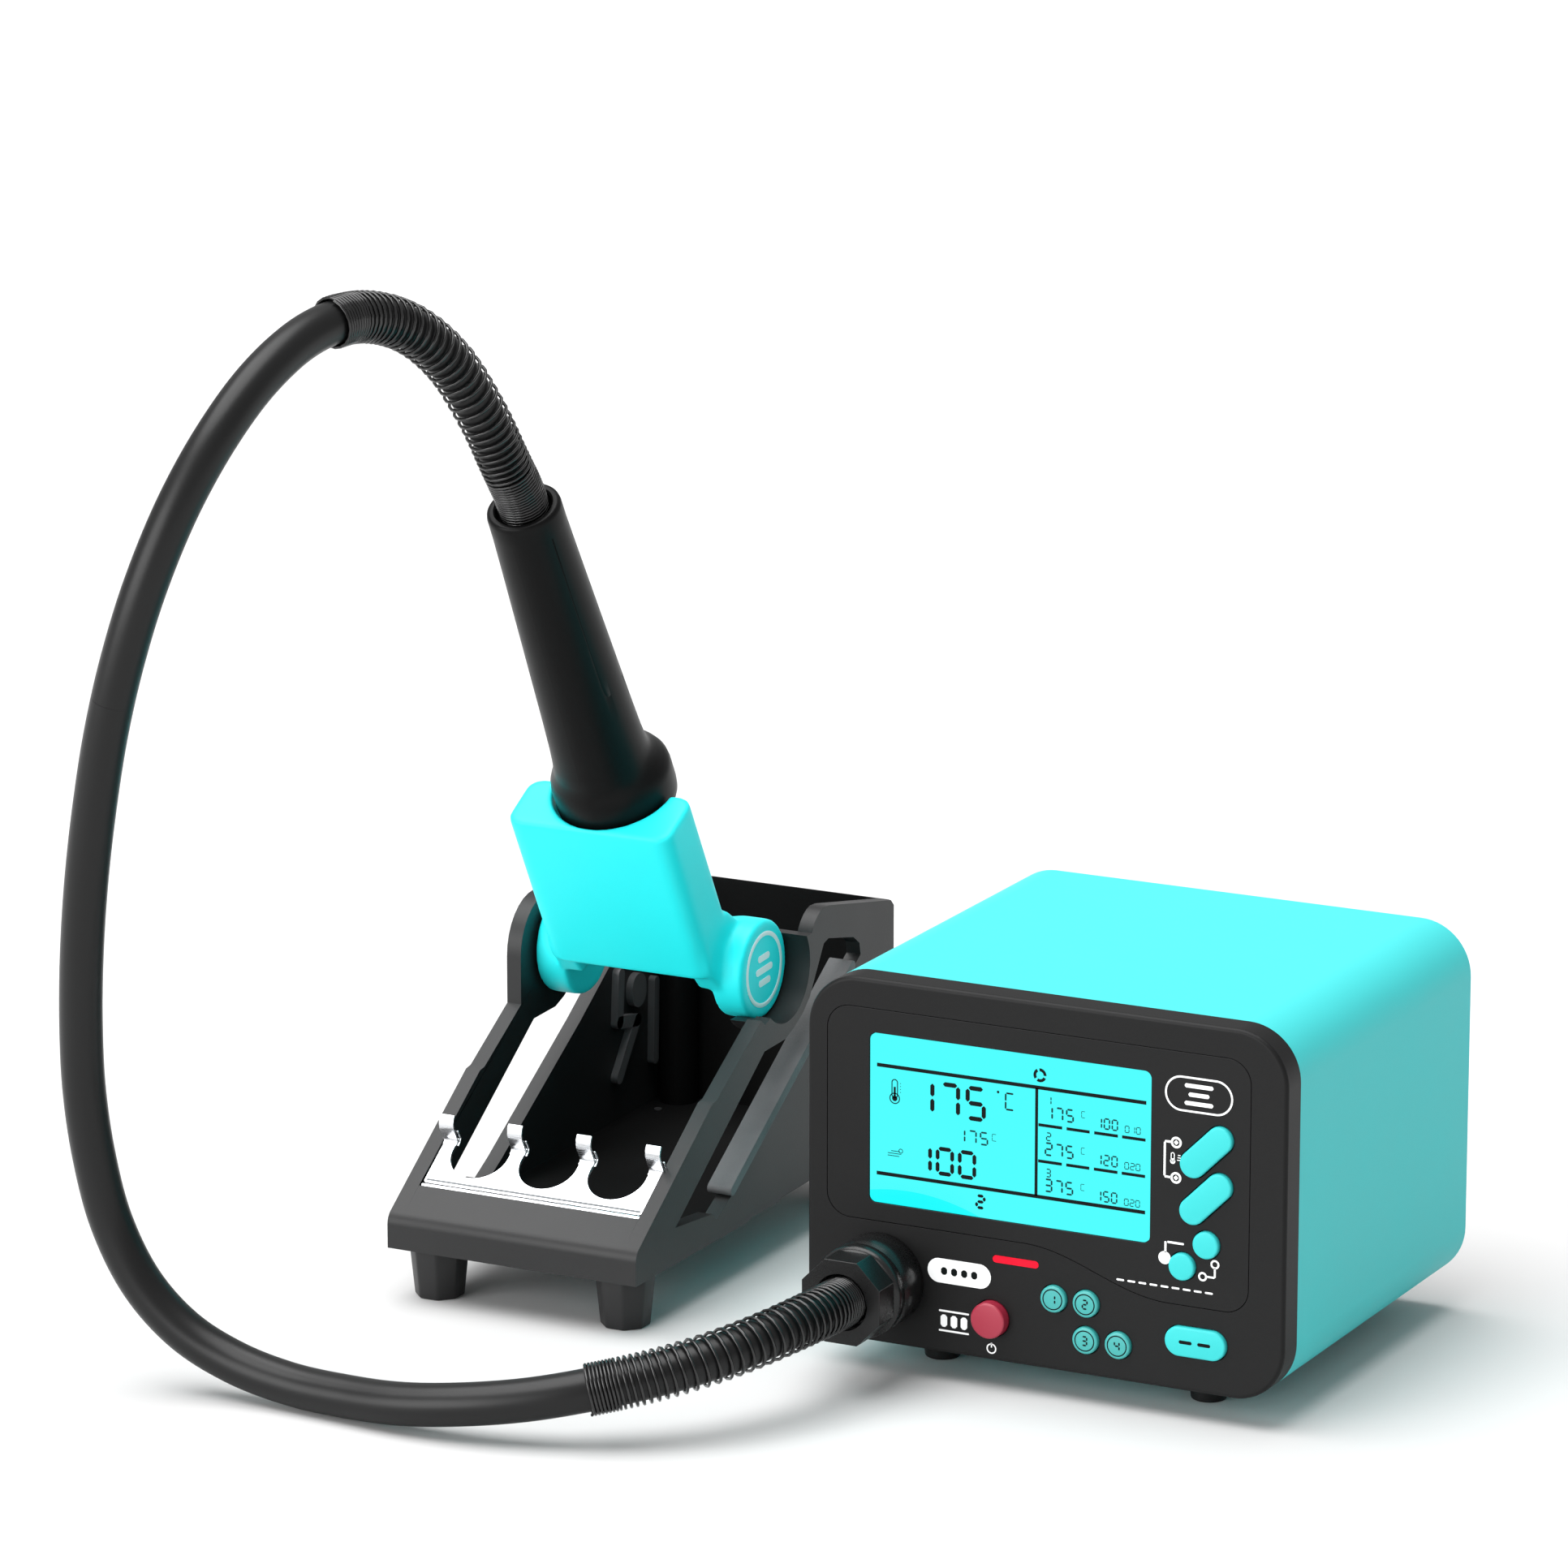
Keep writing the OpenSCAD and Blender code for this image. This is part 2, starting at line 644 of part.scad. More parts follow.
module blower_place() { translate([station_x + blower_x, blower_y, volute_z]) children(); }
module volute_outline(t) {
    circle(volute_r - t);
    translate([gland_x - blower_x - spigot_r + t, -volute_r - 8])
        square([2 * spigot_r - 2 * t, volute_r + 8 + (t > 0 ? 1 : 0)]);
}
module blower_housing() {
    color([0.2, 0.22, 0.25]) blower_place() difference() {
        linear_extrude(volute_h) volute_outline(0);
        translate([0, 0, volute_wall]) linear_extrude(volute_h - 2 * volute_wall) {
            volute_outline(volute_wall);
            translate([gland_x - blower_x - spigot_r + volute_wall, -volute_r - 9])
                square([2 * (spigot_r - volute_wall), 10]);
        }
        translate([0, 0, volute_h - volute_wall - 1]) difference() {
            cylinder(r = inlet_r, h = volute_wall + 2);
            translate([0, 0, -1]) cylinder(r = motor_r, h = volute_wall + 4);
            for (a = [0:120:240]) rotate(a) translate([0, -2, -1]) cube([inlet_r + 1, 4, volute_wall + 4]);
        }
        translate([0, 0, volute_h - volute_wall - 1]) cylinder(r = shaft_r + 0.4, h = volute_wall + 2);
    }
}
module blower_motor() {
    color([0.6, 0.6, 0.62]) blower_place() difference() {
        translate([0, 0, volute_h]) cylinder(r = motor_r, h = motor_h);
        translate([0, 0, volute_h - 1]) cylinder(r = shaft_r + run, h = motor_h - 4);
    }
}
module blower_shaft() {
    color("silver") blower_place() translate([0, 0, volute_wall + 2]) cylinder(r = shaft_r, h = volute_h + 14);
}
module blower_impeller() {
    color([0.85, 0.85, 0.8]) blower_place() translate([0, 0, volute_wall + 1.5]) difference() {
        union() {
            cylinder(r = hub_r, h = fan_h);
            cylinder(r = fan_r, h = 2);
            for (i = [0:blades - 1]) rotate(360 * i / blades) translate([hub_r - 1, -0.6, 0])
                cube([fan_r - hub_r, 1.2, fan_h]);
        }
        translate([0, 0, -1]) cylinder(r = shaft_r, h = fan_h + 2);
    }
}

module air_duct() {
    color([0.85, 0.4, 0.1]) box_frame() gland_place() difference() {
        rod_y(spigot_r, cover_y + 12, blower_y - volute_r - 8);
        rod_y(duct_r + 2, cover_y + 11, blower_y - volute_r);
    }
}

// ---- stand ----
function deck_at(y) = lip_corner[1] + (y - lip_corner[0]) * tan(slope);
step_z = deck_at(step_in);
upper_y0 = step_in + step_run;
function upper_at(y) = step_z + step_rise + (y - upper_y0) * tan(upper_slope);
function ledge_at(y) = deck_at(y) - (tray_t + tray_down) / cos(slope);
ledge_run = (tray_base - 1) * cos(slope);
module stand_side(x0, x1) { translate([stand_x, lip_y, 0]) side(x0, x1) children(); }

// lower front of a side wall, shared by both sides, ending at the upper slope
function front_points() = concat(
    [[stand_d, stand_z + 2.5], [117, stand_z + 2.5], [113, stand_z + 1], [92, stand_z + 1], [88, stand_z], [0, stand_z]],
    arc([lip_r, lip_z], lip_r, 180, 90 + slope, 6),
    [[step_in, step_z], [upper_y0, step_z + step_rise]]);
function rear_points(front) = [front, [stand_d - 2.5, rear_top_z], [stand_d, rear_top_z - 2.5]];

module slot_outline() {
    polygon([[slot_y0, stand_z + 14], [pivot_in - 18, pivot_z - 26.3], [pivot_in - 1, pivot_z - 25.8],
        [pivot_in + 6, pivot_z - 23.3], [pivot_in + 19, pivot_z - 14.8], [pivot_in + 31, pivot_z + 3.7],
        [pivot_in + 35, pivot_z + 4.7], [pivot_in + slot_end - 6, pivot_z], [pivot_in + slot_end - 1, pivot_z - 3.5],
        [pivot_in + slot_end, pivot_z - 8.3], [pivot_in + slot_end - 8, pivot_z - 13],
        [pivot_in + 19, pivot_z - 36.3], [slot_low + 16, stand_z + 14.4], [slot_low + 4, stand_z + 8],
        [slot_low, stand_z + 11.2]]);
}

// rounded rail that lies on the lower edge of the right wall's slot
rail_from = [slot_low + 15, stand_z + 16.4];
rail_to = [pivot_in + slot_end - 8.6, pivot_z - 10.6];
module slot_rail() {
    rise = rail_to - rail_from;
    color([0.2, 0.2, 0.2]) stand_side(stand_w / 2 - cheek_t - rail_in, stand_w / 2 + rail_out)
        translate((rail_from + rail_to) / 2) rotate(atan2(rise[1], rise[0])) pill(norm(rise), rail_r);
}

module right_outline() {
    difference() {
        polygon(concat(front_points(),
            [[pivot_in - seat_r - 1, upper_at(pivot_in - seat_r - 1)], [pivot_in - seat_r + 2, pivot_z - 16],
                [pivot_in + seat_r - 1, pivot_z - 5], [pivot_in + seat_r - 1, pivot_z + 8]],
            arc([pivot_in + seat_r + 14, pivot_z + 4], 14, 160, 100, 5),
            rear_points([pivot_in + seat_r + 16, pivot_z + 17.5])));
        translate([pivot_in, pivot_z]) circle(seat_r);
        slot_outline();
    }
}

module left_outline() {
    x = pivot_in - shoulder_front;
    difference() {
        polygon(concat(front_points(), [[x, upper_at(x)]],
            arc([x + ear_wall_r, pivot_z], ear_wall_r, 180, 90, 8),
            rear_points([pivot_in + seat_r + 16, pivot_z + 17.5])));
        slot_outline();
    }
}

module stand_frame() {
    half = stand_w / 2;
    color([0.27, 0.27, 0.28]) difference() {
        union() {
            stand_side(half - cheek_t, half) right_outline();
            stand_side(-half, -half + cheek_t) left_outline();
            // ledge under the right ear
            stand_side(half - seat_boss, half) difference() {
                translate([pivot_in, pivot_z]) intersection() {
                    circle(seat_r + 4);
                    translate([-seat_r - 4, -seat_r - 4]) square([2 * seat_r + 8, seat_r + 14]);
                }
                translate([pivot_in, pivot_z]) circle(seat_r);
                translate([pivot_in - seat_r - 5, pivot_z - 16]) square([seat_r, 40]);
            }
            // front lip with its rounded top and the ledge that carries the nozzle plate
            stand_side(-half + 1, half - 1) polygon(concat([[tray_in, stand_z], [0, stand_z]],
                arc([lip_r, lip_z], lip_r, 180, 90 + slope, 6),
                [[tray_in, deck_at(tray_in)], [tray_in, ledge_at(tray_in)],
                    [tray_in + ledge_run, ledge_at(tray_in + ledge_run)], [tray_in + ledge_run, stand_z + 12]]));
            // floor, back wall and the upright column behind the cradle
            stand_side(-half + 1, half - 1) polygon([[2, stand_z], [stand_d - 1, stand_z + 2.5],
                [stand_d - 1, stand_z + 2.5 + stand_wall], [2, stand_z + stand_wall]]);
            stand_side(-half + 1, half - 1) polygon([[stand_d - stand_wall, stand_z + 3],
                [stand_d, stand_z + 3], [stand_d, rear_top_z - 2.5], [stand_d - 2, rear_top_z],
                [stand_d - stand_wall, rear_top_z]]);
            translate([stand_x - half + column_in, lip_y + stand_d - column_r - 0.5, stand_z + stand_wall])
                cylinder(r = column_r, h = rear_top_z - stand_z - 30);
        }
        translate([stand_x, pivot_y, pivot_z]) rod_x(pin_r + run, -half - 1, -half + cheek_t + 1);
        leg_places() translate([0, 0, stand_z - 1]) cylinder(r = screw_r + gap, h = 12);
    }
}

module leg_places() {
    for (x = [-1, 1], y = [leg_y0, leg_y1])
        translate([stand_x + x * (stand_w / 2 - leg_in), lip_y + y, 0]) children();
}
module stand_feet() { color([0.22, 0.22, 0.23]) leg_places() foot(leg_r2, leg_r, stand_z); }
module stand_screws() { color("silver") leg_places() foot_screw(stand_z, stand_z + 5.5); }

// nozzle plate: x across, y up the slope, z out of the deck
module on_deck() { translate([stand_x, lip_y + tray_in, deck_at(tray_in)]) rotate([slope, 0, 0]) children(); }
module nozzle_plate() {
    color([0.85, 0.87, 0.88]) on_deck() {
        translate([0, 0, -tray_down - tray_t]) linear_extrude(tray_t) difference() {
            translate([-tray_w / 2, gap]) square([tray_w, tray_l - gap]);
            for (i = [-1:1]) translate([i * fork_pitch, notch_r + tray_base]) {
                circle(notch_r);
                translate([-notch_r, 0]) square([2 * notch_r, tray_l]);
            }
        }
        // bent tabs at the ends of the fingers and the turned-up front edge
        for (i = [-1.5, -0.5, 0.5, 1.5])
            translate([i * fork_pitch - fork_w / 2, tray_l - tray_t, -tray_down - eps]) cube([fork_w, tray_t, tab_l]);
        translate([-tray_w / 2 + 2, gap, -tray_down - eps]) cube([tray_w - 4, tray_t, tray_down + 0.5]);
    }
}

// ---- cradle ----
module trough(s0, s1, r) {
    translate([0, r > shelf_r ? trough_y : 0, s0]) cylinder(r = r, h = s1 - s0);
    translate([-r, r > shelf_r ? trough_y : 0, s0]) cube([2 * r, 40, s1 - s0]);
}
module cradle() {
    color([0.18, 0.97, 0.98]) tilted() difference() {
        union() {
            translate([0, 0, cradle_low]) linear_extrude(cradle_top - cradle_low)
                translate([0, (cradle_front + cradle_back) / 2])
                    rrect(cradle_w, cradle_back - cradle_front, cradle_r);
            rod_x(ear_r, ear_in, ear_face);
            rod_x(ear_r, -left_face, -left_face + ear_t);
            // webs between the ears and the block
            for (x = [cradle_w / 2 - web_in, -cradle_w / 2]) side(x, x + web_in)
                polygon([[-ear_r + 0.5, 4], [cradle_front + 1.5, cradle_low + 4], [cradle_front + 4, cradle_low + 16],
                    [cradle_back, cradle_low + 14], [6, ear_r - 0.6], [12, ear_r - 5], [0, 0]]);
        }
        trough(-ear_r, head_low - shelf_t, trough_r);
        trough(head_low - shelf_t - eps, head_low + eps, shelf_r);
        trough(head_low, cradle_top + 1, trough_r);
        rod_x(pin_r, -left_face - 1, -left_face + pin_in);
        magnet_place() rod_x(magnet_r, -4, magnet_t);
    }
}
module magnet_place() { translate([trough_r + 0.6, -6, magnet_s]) children(); }
module cradle_magnet() { color("silver") tilted() magnet_place() rod_x(magnet_r, 0, magnet_t); }
module pivot_pin() {
    color("silver") tilted() {
        rod_x(pin_r, -stand_w / 2, -left_face + pin_in);
    }
}
module friction_washer() {
    color([0.1, 0.1, 0.1]) tilted() difference() {
        rod_x(ear_r - 5, -left_face - washer_t, -left_face);
        rod_x(pin_r, -left_face - 2, -left_face + 1);
    }
}

// ---- handle ----
module grip_profile() {
    polygon([[grip_r, grip_low], [tail_r, grip_high], [tail_r - grip_wall, grip_high],
        [grip_r - grip_wall, grip_low]]);
}
module grip_half(sign) {
    tilted() intersection() {
        rotate_extrude() grip_profile();
        translate([sign > 0 ? gap / 2 : -60, -60, grip_low - 1]) cube([60 - gap / 2, 120, grip_high]);
    }
}
module handle_shell_left() { color([0.1, 0.1, 0.1]) grip_half(-1); }
module handle_shell_right() { color([0.1, 0.1, 0.1]) grip_half(1); }

// head with a bulb around the barrel; its middle sits a little behind the handle's axis
module handle_head() {
    color([0.09, 0.09, 0.09]) tilted() difference() {
        union() {
            translate([0, 0, head_mid]) cylinder(r1 = head_r - 3.2, r2 = grip_r, h = head_top - head_mid);
            translate([0, trough_y, 0]) rotate_extrude() polygon(concat([[0, head_low], [head_r - 7, head_low]],
                arc([head_r - 7, head_low + 7], 7, -90, 0, 6), arc([head_r - 7, head_mid], 7, 0, 90, 6),
                [[0, head_mid + 7]]));
        }
        translate([0, 0, head_low - 1]) cylinder(r = barrel_r, h = seat_in + 2);
        translate([0, 0, head_low + seat_in]) cylinder(r = grip_r - grip_wall - 2, h = head_top - head_low);
    }
}

module tail_collar() {
    color([0.1, 0.1, 0.1]) tilted() difference() {
        union() {
            translate([0, 0, grip_high]) cylinder(r = tail_r, h = tail_s - grip_high);
            translate([0, 0, grip_high - 8]) cylinder(r = tail_r - grip_wall - gap, h = 9);
        }
        translate([0, 0, tail_floor]) cylinder(r = tail_bore, h = 10);
        translate([0, 0, grip_high - 9]) cylinder(r = duct_r, h = 30);
    }
}

module reed_board() {
    color([0.1, 0.4, 0.2]) tilted() translate([-5, core_r, 112]) cube([10, board_t, 50]);
}
module heater_core() {
    color([0.9, 0.88, 0.82]) tilted() difference() {
        union() {
            translate([0, 0, barrel_low + 6]) cylinder(r = core_r, h = head_top + 60 - barrel_low);
            for (z = [barrel_low + 10, head_low]) translate([0, 0, z]) cylinder(r = barrel_r - barrel_wall, h = 3);
        }
        for (a = [0:60:300]) rotate(a) translate([4.8, 0, 0]) cylinder(r = 1.2, h = tail_s);
        cylinder(r = 1.6, h = tail_s);
    }
}
module barrel() {
    color([0.75, 0.75, 0.76]) tilted() difference() {
        translate([0, 0, barrel_low]) cylinder(r = barrel_r, h = head_low + seat_in - barrel_low);
        translate([0, 0, barrel_low - 1]) cylinder(r = barrel_r - barrel_wall, h = head_low + seat_in + 2 - barrel_low);
    }
}
module nozzle() {
    color([0.8, 0.8, 0.8]) tilted() difference() {
        union() {
            translate([0, 0, barrel_low]) cylinder(r = nozzle_r, h = nozzle_lap);
            translate([0, 0, barrel_low - 8]) cylinder(r1 = tip_r, r2 = nozzle_r, h = 8 + eps);
            translate([0, 0, nozzle_tip]) cylinder(r = tip_r, h = barrel_low - 8 - nozzle_tip + eps);
        }
        translate([0, 0, barrel_low]) cylinder(r = barrel_r, h = nozzle_lap + 1);
        translate([0, 0, nozzle_tip - 1]) cylinder(r = nozzle_bore, h = barrel_low);
    }
}

// ---- hose ----
module air_hose() { color([0.13, 0.13, 0.13]) sweep(route, hose_d / 2, hose_sides); }
module guard(first, last) {
    color([0.05, 0.05, 0.05])
        sweep([for (i = [first:last]) route[i]], guard_r, hose_sides, hose_d / 2 + hose_gap);
}
module hose_spring_station() { guard(0, station_rings); }
module hose_spring_handle() { guard(guard_from, len(route) - 1); }

shell_cover();
front_bezel();
face_plate();
display_lens();
display_module();
led_window();
power_button();
temp_up_button();
temp_down_button();
air_up_button();
air_down_button();
preset_1_button();
preset_2_button();
preset_3_button();
preset_4_button();
set_button();
control_board();
key_switches();
gland_body();
gland_nut();
rear_panel();
mains_inlet();
fuse_holder();
intake_grille();
base_plate();
board_pillars();
power_board();
transformer();
capacitors();
heat_sink();
blower_housing();
blower_motor();
blower_shaft();
blower_impeller();
air_duct();
case_feet();
foot_screws();
rear_screws();
stand_frame();
slot_rail();
stand_feet();
stand_screws();
nozzle_plate();
cradle();
pivot_pin();
friction_washer();
cradle_magnet();
handle_shell_left();
handle_shell_right();
handle_head();
tail_collar();
reed_board();
heater_core();
barrel();
nozzle();
air_hose();
hose_spring_station();
hose_spring_handle();
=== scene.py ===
import bpy
import bmesh
import json
import math
from mathutils import Matrix, Vector


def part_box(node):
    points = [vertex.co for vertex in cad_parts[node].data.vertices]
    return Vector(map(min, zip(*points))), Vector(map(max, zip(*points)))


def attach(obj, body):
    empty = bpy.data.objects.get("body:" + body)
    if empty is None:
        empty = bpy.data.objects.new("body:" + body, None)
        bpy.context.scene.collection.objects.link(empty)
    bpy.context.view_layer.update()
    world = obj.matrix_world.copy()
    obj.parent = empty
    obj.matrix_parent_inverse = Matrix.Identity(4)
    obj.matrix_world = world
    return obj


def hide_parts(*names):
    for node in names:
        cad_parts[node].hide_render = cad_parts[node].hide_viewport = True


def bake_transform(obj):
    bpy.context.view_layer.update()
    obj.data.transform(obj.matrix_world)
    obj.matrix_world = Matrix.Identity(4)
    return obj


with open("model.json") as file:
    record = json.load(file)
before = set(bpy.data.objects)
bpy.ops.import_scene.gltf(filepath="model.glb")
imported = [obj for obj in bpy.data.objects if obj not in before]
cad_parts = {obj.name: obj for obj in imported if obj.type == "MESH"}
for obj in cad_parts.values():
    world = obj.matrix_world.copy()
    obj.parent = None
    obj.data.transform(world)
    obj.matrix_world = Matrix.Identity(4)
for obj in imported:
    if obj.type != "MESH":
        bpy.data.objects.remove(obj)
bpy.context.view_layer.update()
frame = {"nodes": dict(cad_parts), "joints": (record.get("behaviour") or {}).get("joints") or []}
mm = 0.001


def corner(node, side):
    return Vector(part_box(node)[side])


# places shared by several pieces, read from the frame
bezelLow, bezelHigh = corner("front_bezel", 0), corner("front_bezel", 1)
boxX = (bezelLow.x + bezelHigh.x) / 2
boxZ = bezelLow.z
faceY = bezelLow.y
standLow, standHigh = corner("stand_frame", 0), corner("stand_frame", 1)
standX = (standLow.x + standHigh.x) / 2
tiltJoint = next(j for j in frame["joints"] if j["name"] == "cradle_tilt")
liftJoint = next(j for j in frame["joints"] if j["name"] == "handle_lift")
pivot = Vector(tiltJoint["pos_m"])
handleAxis = Vector(liftJoint["axis"]).normalized()
lean = math.acos(handleAxis.z)
tiltedPlace = Matrix.Translation(pivot) @ Matrix.Rotation(lean, 4, "X")
print("frame loaded, lean", round(math.degrees(lean), 1))


class Wire:
    # one socket; sums written in Python become Math nodes
    def __init__(self, finish, socket):
        self.finish, self.socket = finish, socket

    def sum(self, operation, first, second=0.0):
        return self.finish.add("ShaderNodeMath", {"operation": operation}, {0: first, 1: second})

    def __add__(self, other):
        return self.sum("ADD", self, other)

    def __radd__(self, other):
        return self.sum("ADD", other, self)

    def __sub__(self, other):
        return self.sum("SUBTRACT", self, other)

    def __rsub__(self, other):
        return self.sum("SUBTRACT", other, self)

    def __mul__(self, other):
        return self.sum("MULTIPLY", self, other)

    def __rmul__(self, other):
        return self.sum("MULTIPLY", other, self)


class Finish:
    # a material with one Principled shader
    def __init__(self, name, colour, roughness, metallic=0.0, **constants):
        self.material = bpy.data.materials.new(name)
        self.material.use_nodes = True
        self.material.diffuse_color = (*colour, 1)
        self.tree = self.material.node_tree
        self.shader = self.tree.nodes["Principled BSDF"]
        self.shader.inputs["Base Color"].default_value = (*colour, 1)
        self.shader.inputs["Roughness"].default_value = roughness
        self.shader.inputs["Metallic"].default_value = metallic
        for key, value in constants.items():  # underscores stand for the spaces in a socket's name
            self.shader.inputs[key.replace("_", " ")].default_value = value
        self.place = self.add("ShaderNodeTexCoord", {}, {}, "Object")

    def add(self, kind, settings, sockets, out=0):
        made = self.tree.nodes.new(kind)
        for key, value in settings.items():
            if key == "stops":
                while len(made.color_ramp.elements) < len(value):
                    made.color_ramp.elements.new(0.5)
                for element, (position, colour) in zip(made.color_ramp.elements, value):
                    element.position = position
                    element.color = (*colour, 1)
            else:
                setattr(made, key, value)
        for key, value in sockets.items():
            self.feed(made.inputs[key], value)
        return Wire(self, made.outputs[out])

    def feed(self, socket, value):
        if isinstance(value, Wire):
            self.tree.links.new(value.socket, socket)
        else:
            socket.default_value = value

    def set(self, name, value):
        self.feed(self.shader.inputs[name], value)

    def noise(self, scale, detail=3.0, stretch=None):
        where = self.place
        if stretch:
            where = self.add("ShaderNodeMapping", {}, {0: where, 3: stretch})
        return self.add("ShaderNodeTexNoise", {}, {"Vector": where, "Scale": scale, "Detail": detail})

    def shades(self, factor, dark, light):
        return self.add("ShaderNodeMix", {"data_type": "RGBA"}, {0: factor, 6: (*dark, 1), 7: (*light, 1)}, 2)

    def bump(self, height, strength, distance):
        normal = self.add("ShaderNodeBump", {}, {"Strength": strength, "Distance": distance, "Height": height})
        self.set("Normal", normal)


def scaled(colour, factor):
    return tuple(min(1.0, c * factor) for c in colour)


# moulded or painted surface: uneven colour, a fine grain and a roughness that varies
grainLook = {"below": 0.07, "byPatch": 0.1, "byGrain": 0.06, "height": 0.2 * mm}


def grained(name, colour, roughness, grain, depth, spread=0.06, patch=22.0, **constants):
    f = Finish(name, colour, roughness, **constants)
    broad = f.noise(patch, 4.0)
    fine = f.noise(grain, 2.0)
    f.set("Base Color", f.shades(broad, scaled(colour, 1 - spread), scaled(colour, 1 + spread)))
    base = roughness - grainLook["below"]
    f.set("Roughness", base + grainLook["byPatch"] * broad + grainLook["byGrain"] * fine)
    f.bump(fine, depth, grainLook["height"])
    return f.material


# metal with fine lines along one axis
brushLook = {"dark": 0.86, "light": 1.06, "below": 0.08, "byLine": 0.16, "byPatch": 0.08, "height": 0.06 * mm}


def brushed(name, colour, roughness, stretch, depth=0.12):
    f = Finish(name, colour, roughness, 1.0)
    lines = f.noise(1.0, 3.0, stretch)
    broad = f.noise(30.0, 3.0)
    base = roughness - brushLook["below"]
    f.set("Base Color", f.shades(lines, scaled(colour, brushLook["dark"]), scaled(colour, brushLook["light"])))
    f.set("Roughness", base + brushLook["byLine"] * lines + brushLook["byPatch"] * broad)
    f.bump(lines, depth, brushLook["height"])
    return f.material


def black(name, shade, roughness, grain, depth, spread=0.15, gloss=0.25):
    tone = (shade, shade, shade * 1.03)
    return grained(name, tone, roughness, grain, depth, spread, Specular_IOR_Level=gloss)


coverPaint = grained("coverPaint", (0.050, 0.55, 0.56), 0.45, 1500.0, 0.05, 0.03, Specular_IOR_Level=0.2)
cradlePlastic = grained("cradlePlastic", (0.018, 0.84, 0.87), 0.46, 1900.0, 0.10, 0.04, Specular_IOR_Level=0.3)
frontPlastic = black("frontPlastic", 0.0060, 0.46, 2400.0, 0.14, 0.15, 0.18)
platePlastic = black("platePlastic", 0.0065, 0.40, 2000.0, 0.10, 0.15, 0.18)
standPlastic = black("standPlastic", 0.017, 0.42, 1700.0, 0.14, 0.1, 0.3)
# a much lighter grey than the stand plastic the ribs are moulded in: painted light on the wall ribs
ribPlasticPaintedLight = black("ribPlasticPaintedLight", 0.10, 0.50, 1700.0, 0.14, 0.1, 0.3)
# almost black plastic: painted shade on the faces inside the stand's cavity, and the blower housing's own
# colour
innerPlasticAndPaintedShade = black("innerPlasticAndPaintedShade", 0.0030, 0.62, 1500.0, 0.20, 0.2, 0.12)
handlePlastic = black("handlePlastic", 0.0030, 0.36, 2300.0, 0.12, 0.14, 0.12)
glandPlastic = black("glandPlastic", 0.006, 0.26, 1800.0, 0.06, 0.12, 0.4)
keyPlastic = grained("keyPlastic", (0.036, 0.52, 0.52), 0.40, 1500.0, 0.04, 0.03, Specular_IOR_Level=0.25)
presetPlastic = grained("presetPlastic", (0.040, 0.34, 0.325), 0.36, 1500.0, 0.04, 0.03)
powerPlastic = grained("powerPlastic", (0.33, 0.020, 0.045), 0.34, 1500.0, 0.05, 0.05)
hoseRubber = black("hoseRubber", 0.0055, 0.36, 900.0, 0.08, 0.16, 0.3)
footRubber = black("footRubber", 0.006, 0.55, 1300.0, 0.25, 0.2)
railRubber = black("railRubber", 0.11, 0.60, 900.0, 0.8, 0.75)
boardLacquer = grained("boardLacquer", (0.03, 0.20, 0.08), 0.35, 500.0, 0.15, 0.2)
ceramicBody = grained("ceramicBody", (0.60, 0.57, 0.50), 0.70, 900.0, 0.2, 0.06)
coilTape = grained("coilTape", (0.42, 0.26, 0.06), 0.45, 600.0, 0.15, 0.12)
ductSilicone = grained("ductSilicone", (0.48, 0.15, 0.03), 0.55, 700.0, 0.15, 0.08)
whitePrint = grained("whitePrint", (0.92, 0.93, 0.93), 0.5, 2600.0, 0.05, 0.03)
springWire = black("springWire", 0.004, 0.22, 900.0, 0.05, 0.2, 0.6)
plateSteel = brushed("plateSteel", (0.82, 0.83, 0.85), 0.24, (60, 2600, 2600))
barrelSteel = brushed("barrelSteel", (0.62, 0.62, 0.63), 0.28, (1500, 1500, 60))
# dark steel for the thin strip along the plate's bend: painted shade of the groove at the fold
foldPaintedShade = brushed("foldPaintedShade", (0.11, 0.115, 0.12), 0.4, (60, 2600, 2600))
zincPlate = brushed("zincPlate", (0.70, 0.71, 0.73), 0.30, (700, 700, 700))
brassTurned = brushed("brassTurned", (0.76, 0.57, 0.24), 0.28, (200, 200, 2000))
castAluminium = brushed("castAluminium", (0.66, 0.67, 0.69), 0.38, (500, 500, 500), 0.2)


# lit display: bright cyan with a deeper wave low on the left
waveShape = {"middle": -54 * mm, "narrow": 33.0, "rise": 6.2 * mm, "level": 52.5 * mm, "edge": 0.2 * mm}


def litDisplay():
    f = Finish("litDisplay", (0.0, 0.03, 0.03), 0.16, Specular_IOR_Level=0.2)
    x = f.add("ShaderNodeSeparateXYZ", {}, {0: f.place}, 0)
    z = f.add("ShaderNodeSeparateXYZ", {}, {0: f.place}, 2)
    along = (x - (boxX + waveShape["middle"])) * waveShape["narrow"]
    hump = 1.0 - along.sum("POWER", along.sum("ABSOLUTE", along), 2.0)
    crest = hump * waveShape["rise"] + (boxZ + waveShape["level"])
    wave = f.add("ShaderNodeMapRange", {"interpolation_type": "SMOOTHSTEP"},
        {0: crest - z, 1: -waveShape["edge"], 2: waveShape["edge"]})
    glow = f.noise(14.0, 2.0)
    plain = f.shades(glow, (0.060, 0.97, 0.98), (0.074, 1.0, 1.0))
    lit = f.add("ShaderNodeMix", {"data_type": "RGBA"}, {0: wave, 6: plain, 7: (0.012, 0.98, 1.0, 1)}, 2)
    f.set("Emission Color", lit)
    f.shader.inputs["Emission Strength"].default_value = 0.95
    return f.material


def litRed():
    f = Finish("litRed", (0.25, 0.0, 0.01), 0.4, Specular_IOR_Level=0.15)
    f.set("Emission Color", f.shades(f.noise(160.0), (0.85, 0.0, 0.015), (1.0, 0.01, 0.03)))
    f.shader.inputs["Emission Strength"].default_value = 0.9
    return f.material


